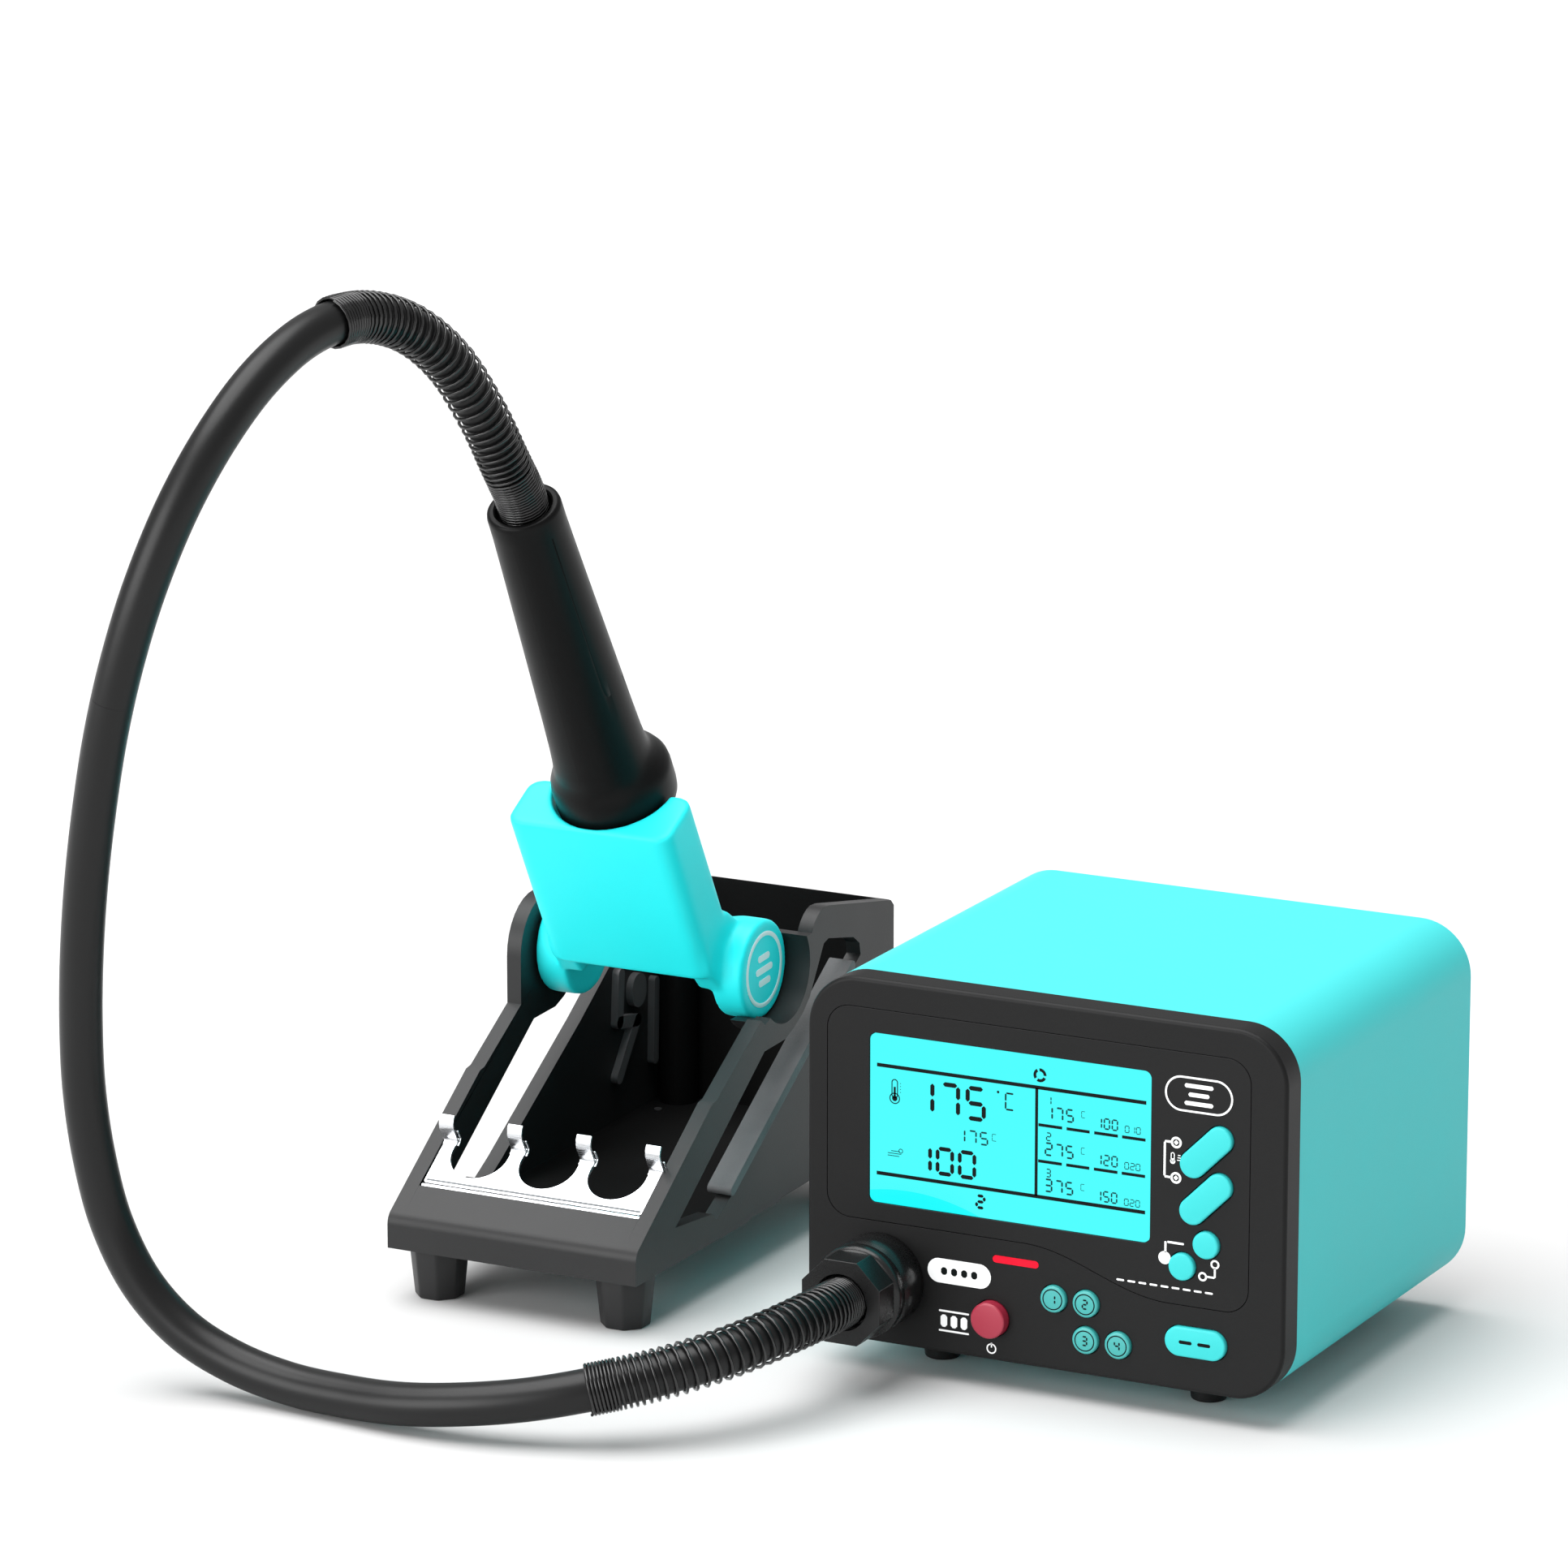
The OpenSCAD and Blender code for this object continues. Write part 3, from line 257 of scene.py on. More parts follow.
displayGlass = litDisplay()
redGlow = litRed()
darkInk = grained("darkInk", (0.002, 0.004, 0.004), 0.5, 2000.0, 0.02, 0.1, Specular_IOR_Level=0.1)
faintInk = grained("faintInk", (0.003, 0.035, 0.038), 0.5, 2000.0, 0.02, 0.1, Specular_IOR_Level=0.1)
print("finishes made", len(bpy.data.materials))


edgeLook = {"segments": 3, "flatWeight": 80}


def finishPiece(name, bm, material, slotName, body=None, stands=(), bevel=None, angle=40):
    mesh = bpy.data.meshes.new(name)
    bm.to_mesh(mesh)
    bm.free()
    mesh.materials.clear()
    mesh.materials.append(material)
    for polygon in mesh.polygons:
        polygon.use_smooth = True
        polygon.material_index = 0
    mesh.set_sharp_from_angle(angle=math.radians(angle))
    piece = bpy.data.objects.new(name, mesh)
    bpy.context.scene.collection.objects.link(piece)
    if bevel:
        edge = piece.modifiers.new("edges", "BEVEL")
        edge.width = bevel
        edge.segments = edgeLook["segments"]
        edge.limit_method = "ANGLE"
        edge.angle_limit = math.radians(angle)
        edge.use_clamp_overlap = True
        edge.miter_outer = "MITER_ARC"
        weigh = piece.modifiers.new("flats", "WEIGHTED_NORMAL")
        weigh.keep_sharp = False
        weigh.weight = edgeLook["flatWeight"]
    if stands:
        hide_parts(*stands)
    if body:
        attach(piece, body)
    return piece


def shapedBy(bm, kind, others=(), **settings):
    # runs one modifier on the mesh and hands back the result
    holders = []
    for shape in [bm, *others]:
        mesh = bpy.data.meshes.new("work")
        shape.to_mesh(mesh)
        shape.free()
        holders.append(bpy.data.objects.new("work", mesh))
        bpy.context.scene.collection.objects.link(holders[-1])
    step = holders[0].modifiers.new("step", kind)
    for key, value in settings.items():
        setattr(step, key, value)
    if others:
        step.object = holders[1]
    bpy.context.view_layer.update()
    made = bpy.data.meshes.new_from_object(holders[0].evaluated_get(bpy.context.evaluated_depsgraph_get()))
    result = bmesh.new()
    result.from_mesh(made)
    for holder in holders:
        mesh = holder.data
        bpy.data.objects.remove(holder)
        bpy.data.meshes.remove(mesh)
    bpy.data.meshes.remove(made)
    return result


def cutAway(bm, cutter):
    return shapedBy(bm, "BOOLEAN", [cutter], operation="DIFFERENCE", solver="EXACT")


def softened(bm, cell, rounds):
    # even small faces, then smoothing, which rounds every edge and corner
    bm = shapedBy(bm, "REMESH", mode="VOXEL", voxel_size=cell)
    for _ in range(rounds):
        bmesh.ops.smooth_vert(bm, verts=bm.verts, factor=0.5, use_axis_x=True, use_axis_y=True, use_axis_z=True)
    return bm


def mergedCopy(node):
    # flat runs of loose triangles become whole faces
    bm = bmesh.new()
    bm.from_mesh(frame["nodes"][node].data)
    bmesh.ops.remove_doubles(bm, verts=bm.verts, dist=2e-6)
    bmesh.ops.dissolve_limit(bm, angle_limit=math.radians(0.6), verts=bm.verts, edges=bm.edges)
    return bm


def roundedCopy(node, material, slotName, body, bevel, angle=35):
    return finishPiece(node + "_finished", mergedCopy(node), material, slotName, body, (node,), bevel, angle)


def turned(outline, steps=64):
    # outline is (radius, height) pairs turned round z
    bm = bmesh.new()
    points = [bm.verts.new((r, 0, h)) for r, h in outline]
    edges = [bm.edges.new(pair) for pair in zip(points, points[1:])]
    bmesh.ops.spin(bm, geom=points + edges, cent=(0, 0, 0), axis=(0, 0, 1), angle=math.tau, steps=steps,
        use_merge=True)
    bmesh.ops.remove_doubles(bm, verts=bm.verts, dist=1e-7)
    bmesh.ops.recalc_face_normals(bm, faces=bm.faces)
    return bm


def padShape(width, height, radius, depth, steps=8):
    # rounded plate lying in x and y, its top at z = depth
    bm = bmesh.new()
    bmesh.ops.create_grid(bm, x_segments=1, y_segments=1, size=0.5)
    bmesh.ops.scale(bm, vec=(width, height, 1), verts=bm.verts)
    bmesh.ops.bevel(bm, geom=list(bm.verts), offset=radius, segments=steps, profile=0.5, affect="VERTICES",
        material=-1)
    raised(bm, depth)
    return bm


def stadium(length, radius, depth, dome=0.0, steps=40):
    # plate with round ends; length is between the centres of its ends
    bm = bmesh.new()
    bmesh.ops.create_circle(bm, cap_ends=True, segments=steps, radius=radius)
    bmesh.ops.rotate(bm, cent=(0, 0, 0), matrix=Matrix.Rotation(math.pi / steps, 3, "Z"), verts=bm.verts)
    for v in bm.verts:
        v.co.x += math.copysign(length / 2, v.co.x)
    raised(bm, depth, dome)
    return bm


def raised(bm, depth, dome=0.0):
    # gives a flat shape its thickness, and a rounded upper edge where dome is set
    made = bmesh.ops.extrude_face_region(bm, geom=list(bm.faces))
    top = [v for v in made["geom"] if isinstance(v, bmesh.types.BMVert)]
    bmesh.ops.translate(bm, vec=(0, 0, depth), verts=top)
    bmesh.ops.recalc_face_normals(bm, faces=bm.faces)
    if dome:
        rim = [e for e in bm.edges if all(abs(v.co.z - depth) < 1e-9 for v in e.verts)]
        bmesh.ops.bevel(bm, geom=rim, offset=dome, segments=4, profile=0.5, affect="EDGES", material=-1)


def joinInto(target, source, place):
    scrap = bpy.data.meshes.new("scrap")
    bmesh.ops.transform(source, matrix=place, verts=source.verts)
    source.to_mesh(scrap)
    source.free()
    target.from_mesh(scrap)
    bpy.data.meshes.remove(scrap)


def panelPlace(x, z, out=0.0, turn=0.0):
    # x and z in mm from the box's middle and underside; local z points out of the panel
    spot = Matrix.Translation((boxX + x * mm, faceY - out, boxZ + z * mm))
    return spot @ Matrix.Rotation(math.pi / 2, 4, "X") @ Matrix.Rotation(turn, 4, "Z")


def movedBy(bm, place):
    bmesh.ops.transform(bm, matrix=place, verts=bm.verts)
    return bm


# camera, light and floor
view = {"place": (1.2631, -2.5818, 0.9311), "pitch": 75.68, "yaw": 27.17, "lens": 186.3, "sensor": 36,
    "far": 30}
lens = bpy.data.cameras.new("viewer")
lens.lens, lens.sensor_width, lens.clip_end = view["lens"], view["sensor"], view["far"]
viewer = bpy.data.objects.new("viewer", lens)
viewer.location = view["place"]
viewer.rotation_euler = (math.radians(view["pitch"]), 0, math.radians(view["yaw"]))
bpy.context.scene.collection.objects.link(viewer)
bpy.context.scene.camera = viewer
bpy.context.scene.view_settings.view_transform = "Standard"


def broadSun(name, towards, strength, spread):
    data = bpy.data.lights.new(name, "SUN")
    data.energy, data.angle = strength, math.radians(spread)
    lamp = bpy.data.objects.new(name, data)
    lamp.rotation_euler = Vector(towards).to_track_quat("Z", "Y").to_euler()
    bpy.context.scene.collection.objects.link(lamp)


studio = {"overhead": ((-0.22, -0.12, 0.96), 4.2, 60), "frontLeft": ((-0.42, -0.88, 0.16), 3.0, 50)}
ambient = {"strength": 0.5, "floor": 30}
for name, (towards, strength, spread) in studio.items():
    broadSun(name, towards, strength, spread)

world = bpy.data.worlds.new("studio")
world.use_nodes = True
world.node_tree.nodes["Background"].inputs[0].default_value = (1, 1, 1, 1)
world.node_tree.nodes["Background"].inputs[1].default_value = ambient["strength"]
bpy.context.scene.world = world

floorShape = bmesh.new()
bmesh.ops.create_grid(floorShape, x_segments=1, y_segments=1, size=ambient["floor"])
floorPaint = grained("floorPaint", (0.60, 0.60, 0.60), 0.75, 40.0, 0.0, 0.006, 2.0, Specular_IOR_Level=0.1)
floor = finishPiece("floor", floorShape, floorPaint, None)
print("camera and lights set")

# hose and its spring guards
hose = {"diameter": 15.6 * mm, "sides": 10, "step": 2.8 * mm, "straight": 7.8 * mm, "tail": 216 * mm,
    "tailGuide": 228 * mm, "follows": 232 * mm, "bendFrom": 16 * mm, "splitHeight": 262 * mm, "overlap": 4 * mm}
gland = {"x": -64.4, "z": 24.6, "radius": 17.3, "length": 20.5, "bore": 10}
glandX, glandZ = boxX + gland["x"] * mm, boxZ + gland["z"] * mm


def tailPoint(s):
    return pivot + handleAxis * s


# middle line from the gland to the arch over the stand, in mm
middleRoute = [(19, -134, 35.4), (12, -156, 33), (1, -176, 29.5), (-14, -192, 25.4), (-33, -205, 21),
    (-54, -214, 16.6), (-77, -219.5, 13), (-101, -221, 10), (-125, -219, 8.6), (-149, -217, 9),
    (-172, -216.5, 13.4), (-192, -218, 23), (-208, -220, 39), (-218.5, -222.5, 61), (-223, -226, 86),
    (-224, -230, 112), (-221.5, -235, 139), (-217, -240.5, 166), (-211, -246, 194), (-204.5, -250, 222),
    (-197.5, -252.6, 250), (-190, -252.8, 277), (-182, -249.5, 304), (-173.5, -241, 331),
    (-166, -226.5, 354), (-160.5, -206, 371.5), (-155.5, -181.5, 382.5), (-150, -157, 385),
    (-143.5, -134, 378), (-137, -115.5, 363), (-131.5, -101.5, 342), (-128, -91.5, 323)]
neckEnd = corner("gland_body", 0).y
hoseStart = Vector((glandX, neckEnd, glandZ))
hosePoints = [hoseStart, Vector((glandX, neckEnd - hose["straight"], glandZ))]
hosePoints += [Vector(p) * mm for p in middleRoute] + [tailPoint(hose["tailGuide"]), tailPoint(hose["tail"])]


def smoothLine(points, step):
    # a spline through the points, cut into even steps
    ends = [points[0] * 2 - points[1]] + points + [points[-1] * 2 - points[-2]]
    fine, cuts = [], 24
    for a, b, c, d in zip(ends, ends[1:], ends[2:], ends[3:]):
        for t in (k / cuts for k in range(cuts)):
            square, cube = 2 * a - 5 * b + 4 * c - d, 3 * b - 3 * c + d - a
            fine.append(0.5 * (2 * b + (c - a) * t + square * t * t + cube * t ** 3))
    fine.append(points[-1])
    lengths = [0.0]
    for p, q in zip(fine, fine[1:]):
        lengths.append(lengths[-1] + (q - p).length)
    count = max(2, round(lengths[-1] / step))
    even, at = [], 0
    for k in range(count + 1):
        goal = lengths[-1] * k / count
        while at < len(fine) - 2 and lengths[at + 1] < goal:
            at += 1
        span = max(1e-12, lengths[at + 1] - lengths[at])
        even.append(fine[at].lerp(fine[at + 1], (goal - lengths[at]) / span))
    return even, lengths[-1]


hoseLine, hoseLength = smoothLine(hosePoints, hose["step"])
hoseStep = hoseLength / (len(hoseLine) - 1)
print("hose length", round(hoseLength, 3))

# frames that turn as little as possible along the line
sideways = []
across = Vector((1, 0, 0))
for k in range(len(hoseLine)):
    ahead = (hoseLine[min(k + 1, len(hoseLine) - 1)] - hoseLine[max(k - 1, 0)]).normalized()
    across = (across - ahead * across.dot(ahead)).normalized()
    sideways.append((across.copy(), ahead.cross(across)))


def alongHose(distance):
    # the middle at a distance from the box, and two directions across the hose
    at = min(max(distance / hoseStep, 0), len(hoseLine) - 1.001)
    k, t = int(at), at - int(at)
    u, v = sideways[k]
    u2, v2 = sideways[k + 1]
    return hoseLine[k].lerp(hoseLine[k + 1], t), u.lerp(u2, t).normalized(), v.lerp(v2, t).normalized()


def wireMesh(name, points, radius, roundness):
    # a round wire or tube along the points
    data = bpy.data.curves.new(name, "CURVE")
    data.dimensions = "3D"
    data.bevel_depth, data.bevel_resolution, data.use_fill_caps = radius, roundness, True
    line = data.splines.new("POLY")
    line.points.add(len(points) - 1)
    for point, p in zip(line.points, points):
        point.co = (*p, 1)
    drawn = bpy.data.objects.new(name, data)
    bpy.context.scene.collection.objects.link(drawn)
    bpy.context.view_layer.update()
    made = bpy.data.meshes.new_from_object(drawn.evaluated_get(bpy.context.evaluated_depsgraph_get()))
    bpy.data.objects.remove(drawn)
    bm = bmesh.new()
    bm.from_mesh(made)
    bmesh.ops.remove_doubles(bm, verts=bm.verts, dist=1e-6)
    bmesh.ops.recalc_face_normals(bm, faces=bm.faces)
    bpy.data.meshes.remove(made)
    return bm


# two lengths that meet end to end, because a piece can bend at one joint only
splitAt = next(k for k, p in enumerate(hoseLine) if p.z > hose["splitHeight"])
lowerLine, upperLine = hoseLine[:splitAt + 1], hoseLine[splitAt:]
lowerHose = finishPiece("air_hose_lower", wireMesh("lowerHose", lowerLine, hose["diameter"] / 2, hose["sides"]),
    hoseRubber, "hose_rubber", stands=("air_hose",))
upperHose = finishPiece("air_hose_upper", wireMesh("upperHose", upperLine, hose["diameter"] / 2, hose["sides"]),
    hoseRubber, "hose_rubber")
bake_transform(lowerHose)
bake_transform(upperHose)

# lengths of tight turns are given for the end nearer the box first
guard = {"wire": 1.25 * mm, "outer": 9.55 * mm, "turn": 18, "close": 1.02, "loose": 1.5, "open": 4.2 * mm,
    "ease": 30 * mm, "inset": 1.2 * mm, "boxEnd": 118 * mm, "handleSpan": 139 * mm,
    "boxTight": (12 * mm, 11 * mm), "handleTight": (11 * mm, 22 * mm)}


def coilPoints(start, end, tightStart, tightEnd):
    # tight turns at both ends, opening towards the middle
    points, distance, angle = [], start, 0.0
    radius = guard["outer"] - guard["wire"] / 2
    while distance < end:
        into, left = distance - start, end - distance
        pitch = guard["wire"] * guard["close"]
        if into > tightStart and left > tightEnd:
            share = min((into - tightStart) / guard["ease"], (left - tightEnd) / guard["ease"], 1.0)
            pitch = guard["wire"] * guard["loose"] * (1 - share) + guard["open"] * share
        middle, u, v = alongHose(distance)
        points.append(middle + (u * math.cos(angle) + v * math.sin(angle)) * radius)
        angle += math.tau / guard["turn"]
        distance += pitch / guard["turn"]
    return points


def springGuard(name, start, end, tight, **rest):
    coil = wireMesh(name, coilPoints(start, end, *tight), guard["wire"] / 2, 1)
    return finishPiece(name, coil, springWire, "spring_wire", angle=70, **rest)


boxSpring = springGuard("hose_spring_at_box", guard["inset"], guard["boxEnd"], guard["boxTight"],
    body="base", stands=("hose_spring_station",))
handleSpring = springGuard("hose_spring_at_handle", hoseLength - guard["handleSpan"],
    hoseLength - guard["inset"], guard["handleTight"], stands=("hose_spring_handle",))
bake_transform(handleSpring)
lowerLength = hoseStep * splitAt
hoseLength - lowerLength
print("hose laid")

# control box, as node: finish, slot, edge rounding in mm, smallest angle that counts as an edge
boxFinishes = {
    "shell_cover": (coverPaint, "cyan_paint", 0.7, 35),
    "front_bezel": (frontPlastic, "black_plastic", 0.45, 42),
    "face_plate": (platePlastic, "dark_plastic", 0.9, 50),
    "rear_panel": (frontPlastic, "black_plastic", 0.4, 50),
    "intake_grille": (frontPlastic, "black_plastic", 0.3, 50),
    "case_feet": (footRubber, "rubber", 0.8, 50),
    "gland_nut": (glandPlastic, "dark_plastic", 0.8, 30),
    "fuse_holder": (frontPlastic, "black_plastic", 0.5, 50),
}
for node, (material, slotName, edge, angle) in boxFinishes.items():
    roundedCopy(node, material, slotName, "base", edge * mm, angle)

# gland: a round base with one ring cut into it, and the neck inside the nut
bore, outer, tall = gland["bore"], gland["radius"], gland["length"]
outline = [(bore, 0), (outer - 0.6, 0), (outer, 0.6), (outer, 13.2), (outer - 0.7, 13.9), (outer - 0.7, 14.6),
    (outer, 15.3), (outer, tall - 1.2), (outer - 1.2, tall), (bore, tall), (bore, 0)]
neckOutline = [(8, 18), (13, 18), (13, 24.5), (8, 24.5), (8, 18)]
for name, rings, stands in (("gland_base", outline, ("gland_body",)), ("gland_neck", neckOutline, ())):
    shape = turned([(r * mm, h * mm) for r, h in rings])
    bmesh.ops.remove_doubles(shape, verts=shape.verts, dist=1e-6)
    movedBy(shape, panelPlace(gland["x"], gland["z"]))
    finishPiece(name, shape, glandPlastic, "black_plastic", "base", stands, angle=50)

# keys: x, z, length between end centres, turn, radius, height, finish, slot
keyShape = {"sunk": 4.0 * mm, "edge": 0.8 * mm}
keyTable = {
    "power_button": (-20, 16, 0, 0, 6.7, 4.0, powerPlastic, "red_key"),
    "temp_up_button": (63.5, 89.7, 14.2, 45, 5, 1.6, keyPlastic, "cyan_key"),
    "temp_down_button": (63.5, 72.5, 14.2, 45, 5, 1.6, keyPlastic, "cyan_key"),
    "air_up_button": (63.8, 55.6, 0, 0, 5, 1.6, keyPlastic, "cyan_key"),
    "air_down_button": (54.6, 46.4, 0, 0, 5, 1.6, keyPlastic, "cyan_key"),
    "preset_1_button": (4.7, 27.1, 0, 0, 5, 1.6, presetPlastic, "cyan_key"),
    "preset_2_button": (17.4, 27.1, 0, 0, 5, 1.6, presetPlastic, "cyan_key"),
    "preset_3_button": (17.4, 13.5, 0, 0, 5, 1.6, presetPlastic, "cyan_key"),
    "preset_4_button": (30.1, 13.5, 0, 0, 5, 1.6, presetPlastic, "cyan_key"),
    "set_button": (60.3, 18.8, 12.6, 0, 5.5, 1.6, keyPlastic, "cyan_key"),
}
for key, (x, z, length, turn, radius, height, material, slotName) in keyTable.items():
    shape = stadium(length * mm, radius * mm, height * mm + keyShape["sunk"], keyShape["edge"])
    movedBy(shape, panelPlace(x, z, -keyShape["sunk"], math.radians(turn)))
    finishPiece(key + "_cap", shape, material, slotName, key.replace("_button", "_key"), (key,), angle=35)

window = {"x": -13.75, "z": 84.5, "width": 110.5, "height": 63, "corner": 2.5, "thick": 1.4, "sunk": 1.75}
lensShape = padShape(window["width"] * mm, window["height"] * mm, window["corner"] * mm, window["thick"] * mm)
movedBy(lensShape, panelPlace(window["x"], window["z"], -window["sunk"] * mm))
finishPiece("display_window", lensShape, displayGlass, "display", "base", ("display_lens",), angle=40)
light = {"x": -10.7, "z": 38.5, "length": 15.4, "radius": 1.3, "thick": 2, "sunk": 1.95}
ledShape = stadium(light["length"] * mm, light["radius"] * mm, light["thick"] * mm)
movedBy(ledShape, panelPlace(light["x"], light["z"], -light["sunk"] * mm))
finishPiece("light_bar", ledShape, redGlow, "red_window", "base", ("led_window",))

# marks on the display and the panel, all in mm; figures are built from seven segments
inkDepth = 0.05 * mm
segmentLook = {"gap": 0.55, "cut": 0.42}
segmentsOf = {"0": "abcdef", "1": "bc", "2": "abged", "3": "abgcd", "4": "fgbc", "5": "afgcd", "7": "abc",
    "C": "afed"}


def bar(target, x, z, width, height, lift, cut=0.0, turn=0.0):
    bm = bmesh.new()
    bmesh.ops.create_grid(bm, x_segments=1, y_segments=1, size=0.5)
    bmesh.ops.scale(bm, vec=(width * mm, height * mm, 1), verts=bm.verts)
    if cut:
        bmesh.ops.bevel(bm, geom=list(bm.verts), offset=cut * mm, segments=1, profile=0.5, affect="VERTICES",
            material=-1)
    raised(bm, inkDepth)
    joinInto(target, bm, panelPlace(x, z, lift, turn))


def digit(target, sign, x, z, width, height, stroke, lift):
    # x, z is the lower left corner
    half = height / 2
    spots = {"a": (width / 2, height, 0), "g": (width / 2, half, 0), "d": (width / 2, 0, 0),
        "f": (0, half * 1.5, 1), "b": (width, half * 1.5, 1), "e": (0, half / 2, 1), "c": (width, half / 2, 1)}
    for name in segmentsOf[sign]:
        dx, dz, upright = spots[name]
        long = (half if upright else width) - stroke * segmentLook["gap"]
        across, tall = (stroke, long) if upright else (long, stroke)
        bar(target, x + dx, z + dz, across, tall, lift, stroke * segmentLook["cut"])


def number(target, text, x, z, width, height, pitch, stroke, lift):
    for place, sign in enumerate(text):
        digit(target, sign, x + place * pitch, z, width, height, stroke, lift)


def ringMark(target, x, z, radius, thick, lift, parts=1, gapAngle=0.0):
    for part in range(parts):
        bm = bmesh.new()
        ends = [bm.verts.new(((radius + side * thick) * mm, 0, 0)) for side in (-0.5, 0.5)]
        edge = bm.edges.new(ends)
        sweep = math.tau / parts - gapAngle
        bmesh.ops.spin(bm, geom=ends + [edge], cent=(0, 0, 0), axis=(0, 0, 1), angle=sweep,
            steps=max(8, round(48 / parts)), use_merge=gapAngle == 0)
        bmesh.ops.recalc_face_normals(bm, faces=bm.faces)
        raised(bm, inkDepth)
        joinInto(target, bm, panelPlace(x, z, lift, part * math.tau / parts))


def outlineMark(target, x, z, length, radius, thick, lift, turn=0.0):
    bm = stadium(length * mm, radius * mm, inkDepth)
    flat = [f for f in bm.faces if abs(f.normal.z) > 0.9]
    bmesh.ops.inset_region(bm, faces=flat, thickness=thick * mm)
    bmesh.ops.delete(bm, geom=flat, context="FACES")
    joinInto(target, bm, panelPlace(x, z, lift, turn))


def dot(target, x, z, radius, lift, length=0.0):
    joinInto(target, stadium(length * mm, radius * mm, inkDepth, steps=24), panelPlace(x, z, lift))


# rows of bars are x, z, width and height
displayLift = -0.34 * mm
displayBars = [(-13.3, 104.4, 106, 1.35), (-13.3, 64, 106, 1.35), (-3, 84.2, 1.15, 40)]
rowLines = {"levels": (90.7, 77.3), "spans": ((2.4, 9.3), (13.3, 9.0), (24.2, 9.2), (35.0, 9.1)), "height": 1.1}
# each figure: text, x, z, width, height, pitch, stroke
mainFigures = [("175", -50.6, 89.4, 6.4, 11.2, 10.2, 1.65), ("100", -50.8, 67.2, 5.8, 9.2, 8.8, 1.5)]
unitFigures = [("C", -15.2, 94.6, 3.2, 6.0, 0, 0.62), ("2", -26.4, 56.6, 3.0, 4.4, 4, 1.1)]
ink = bmesh.new()
for x, z, width, height in displayBars:
    bar(ink, x, z, width, height, displayLift)
for z in rowLines["levels"]:
    for x, width in rowLines["spans"]:
        bar(ink, x, z, width, rowLines["height"], displayLift)
for figure in mainFigures + unitFigures:
    number(ink, *figure, displayLift)
dot(ink, -18.2, 100.6, 0.5, displayLift)
ringMark(ink, -1.8, 109.0, 2.0, 1.1, displayLift, 3, 0.42)
thermometer = {"x": -59.2, "bulb": 92.7, "stem": 95.2, "case": 96.3}
dot(ink, thermometer["x"], thermometer["bulb"], 1.05, displayLift)
bar(ink, thermometer["x"], thermometer["stem"], 0.8, 3.6, displayLift)
finishPiece("display_figures", ink, darkInk, "display", "base", angle=30)

faint = bmesh.new()
outlineMark(faint, thermometer["x"], thermometer["case"], 4.6, 1.3, 0.4, displayLift, math.pi / 2)
ringMark(faint, thermometer["x"], thermometer["bulb"], 1.9, 0.4, displayLift)
for k in range(4):
    dot(faint, -56.9, thermometer["stem"] + k * 1.1, 0.16, displayLift)
for k, width in enumerate((4.6, 5.4, 3.4)):
    bar(faint, -59.6 + 0.4 * k, 71.2 + 0.9 * k, width, 0.26, displayLift)
ringMark(faint, -56.7, 73.3, 0.75, 0.26, displayLift)
number(faint, "175", -34.0, 80.3, 2.7, 4.4, 4.5, 0.62, displayLift)
number(faint, "C", -20.4, 82.2, 1.6, 2.5, 0, 0.2, displayLift)
rowFigures = (("175", "100", "010"), ("275", "120", "020"), ("375", "150", "020"))
rowDrop = 13.45
for row, (first, second, third) in enumerate(rowFigures):
    figures = [(str(row + 1), 1.0, 98.8, 1.6, 2.8, 3, 0.42), (first, 0.6, 93.4, 2.5, 4.4, 4.1, 0.66),
        (second, 20.4, 92.7, 2.0, 3.7, 3.1, 0.55), (third, 31.6, 92.5, 1.5, 2.4, 2.2, 0.3),
        ("C", 14.6, 95.6, 1.4, 2.3, 0, 0.2)]
    for text, x, z, width, height, pitch, stroke in figures:
        number(faint, text, x, z - rowDrop * row, width, height, pitch, stroke, displayLift)
finishPiece("display_small_figures", faint, faintInk, "display", "base", angle=30)

# dark numbers and rings on the preset keys, two dashes on the long key
keyMark = {"ring": 3.7, "ringThick": 0.45, "dash": 5.0, "dashHeight": 1.3, "dashPitch": 7.2, "sunk": 0.03}
for key, (x, z, length, turn, radius, height, material, slotName) in keyTable.items():
    if "preset" in key or key == "set_button":
        mark = bmesh.new()
        top = (height - keyMark["sunk"]) * mm
        if length:
            for side in (-0.5, 0.5):
                bar(mark, x + side * keyMark["dashPitch"], z, keyMark["dash"], keyMark["dashHeight"], top, 0.4)
        else:
            ringMark(mark, x, z, keyMark["ring"], keyMark["ringThick"], top)
            number(mark, key.split("_")[1], x - 0.9, z - 1.6, 1.8, 3.2, 3, 0.62, top)
        finishPiece(key + "_mark", mark, darkInk, slotName, key.replace("_button", "_key"), angle=30)
print("keys made")

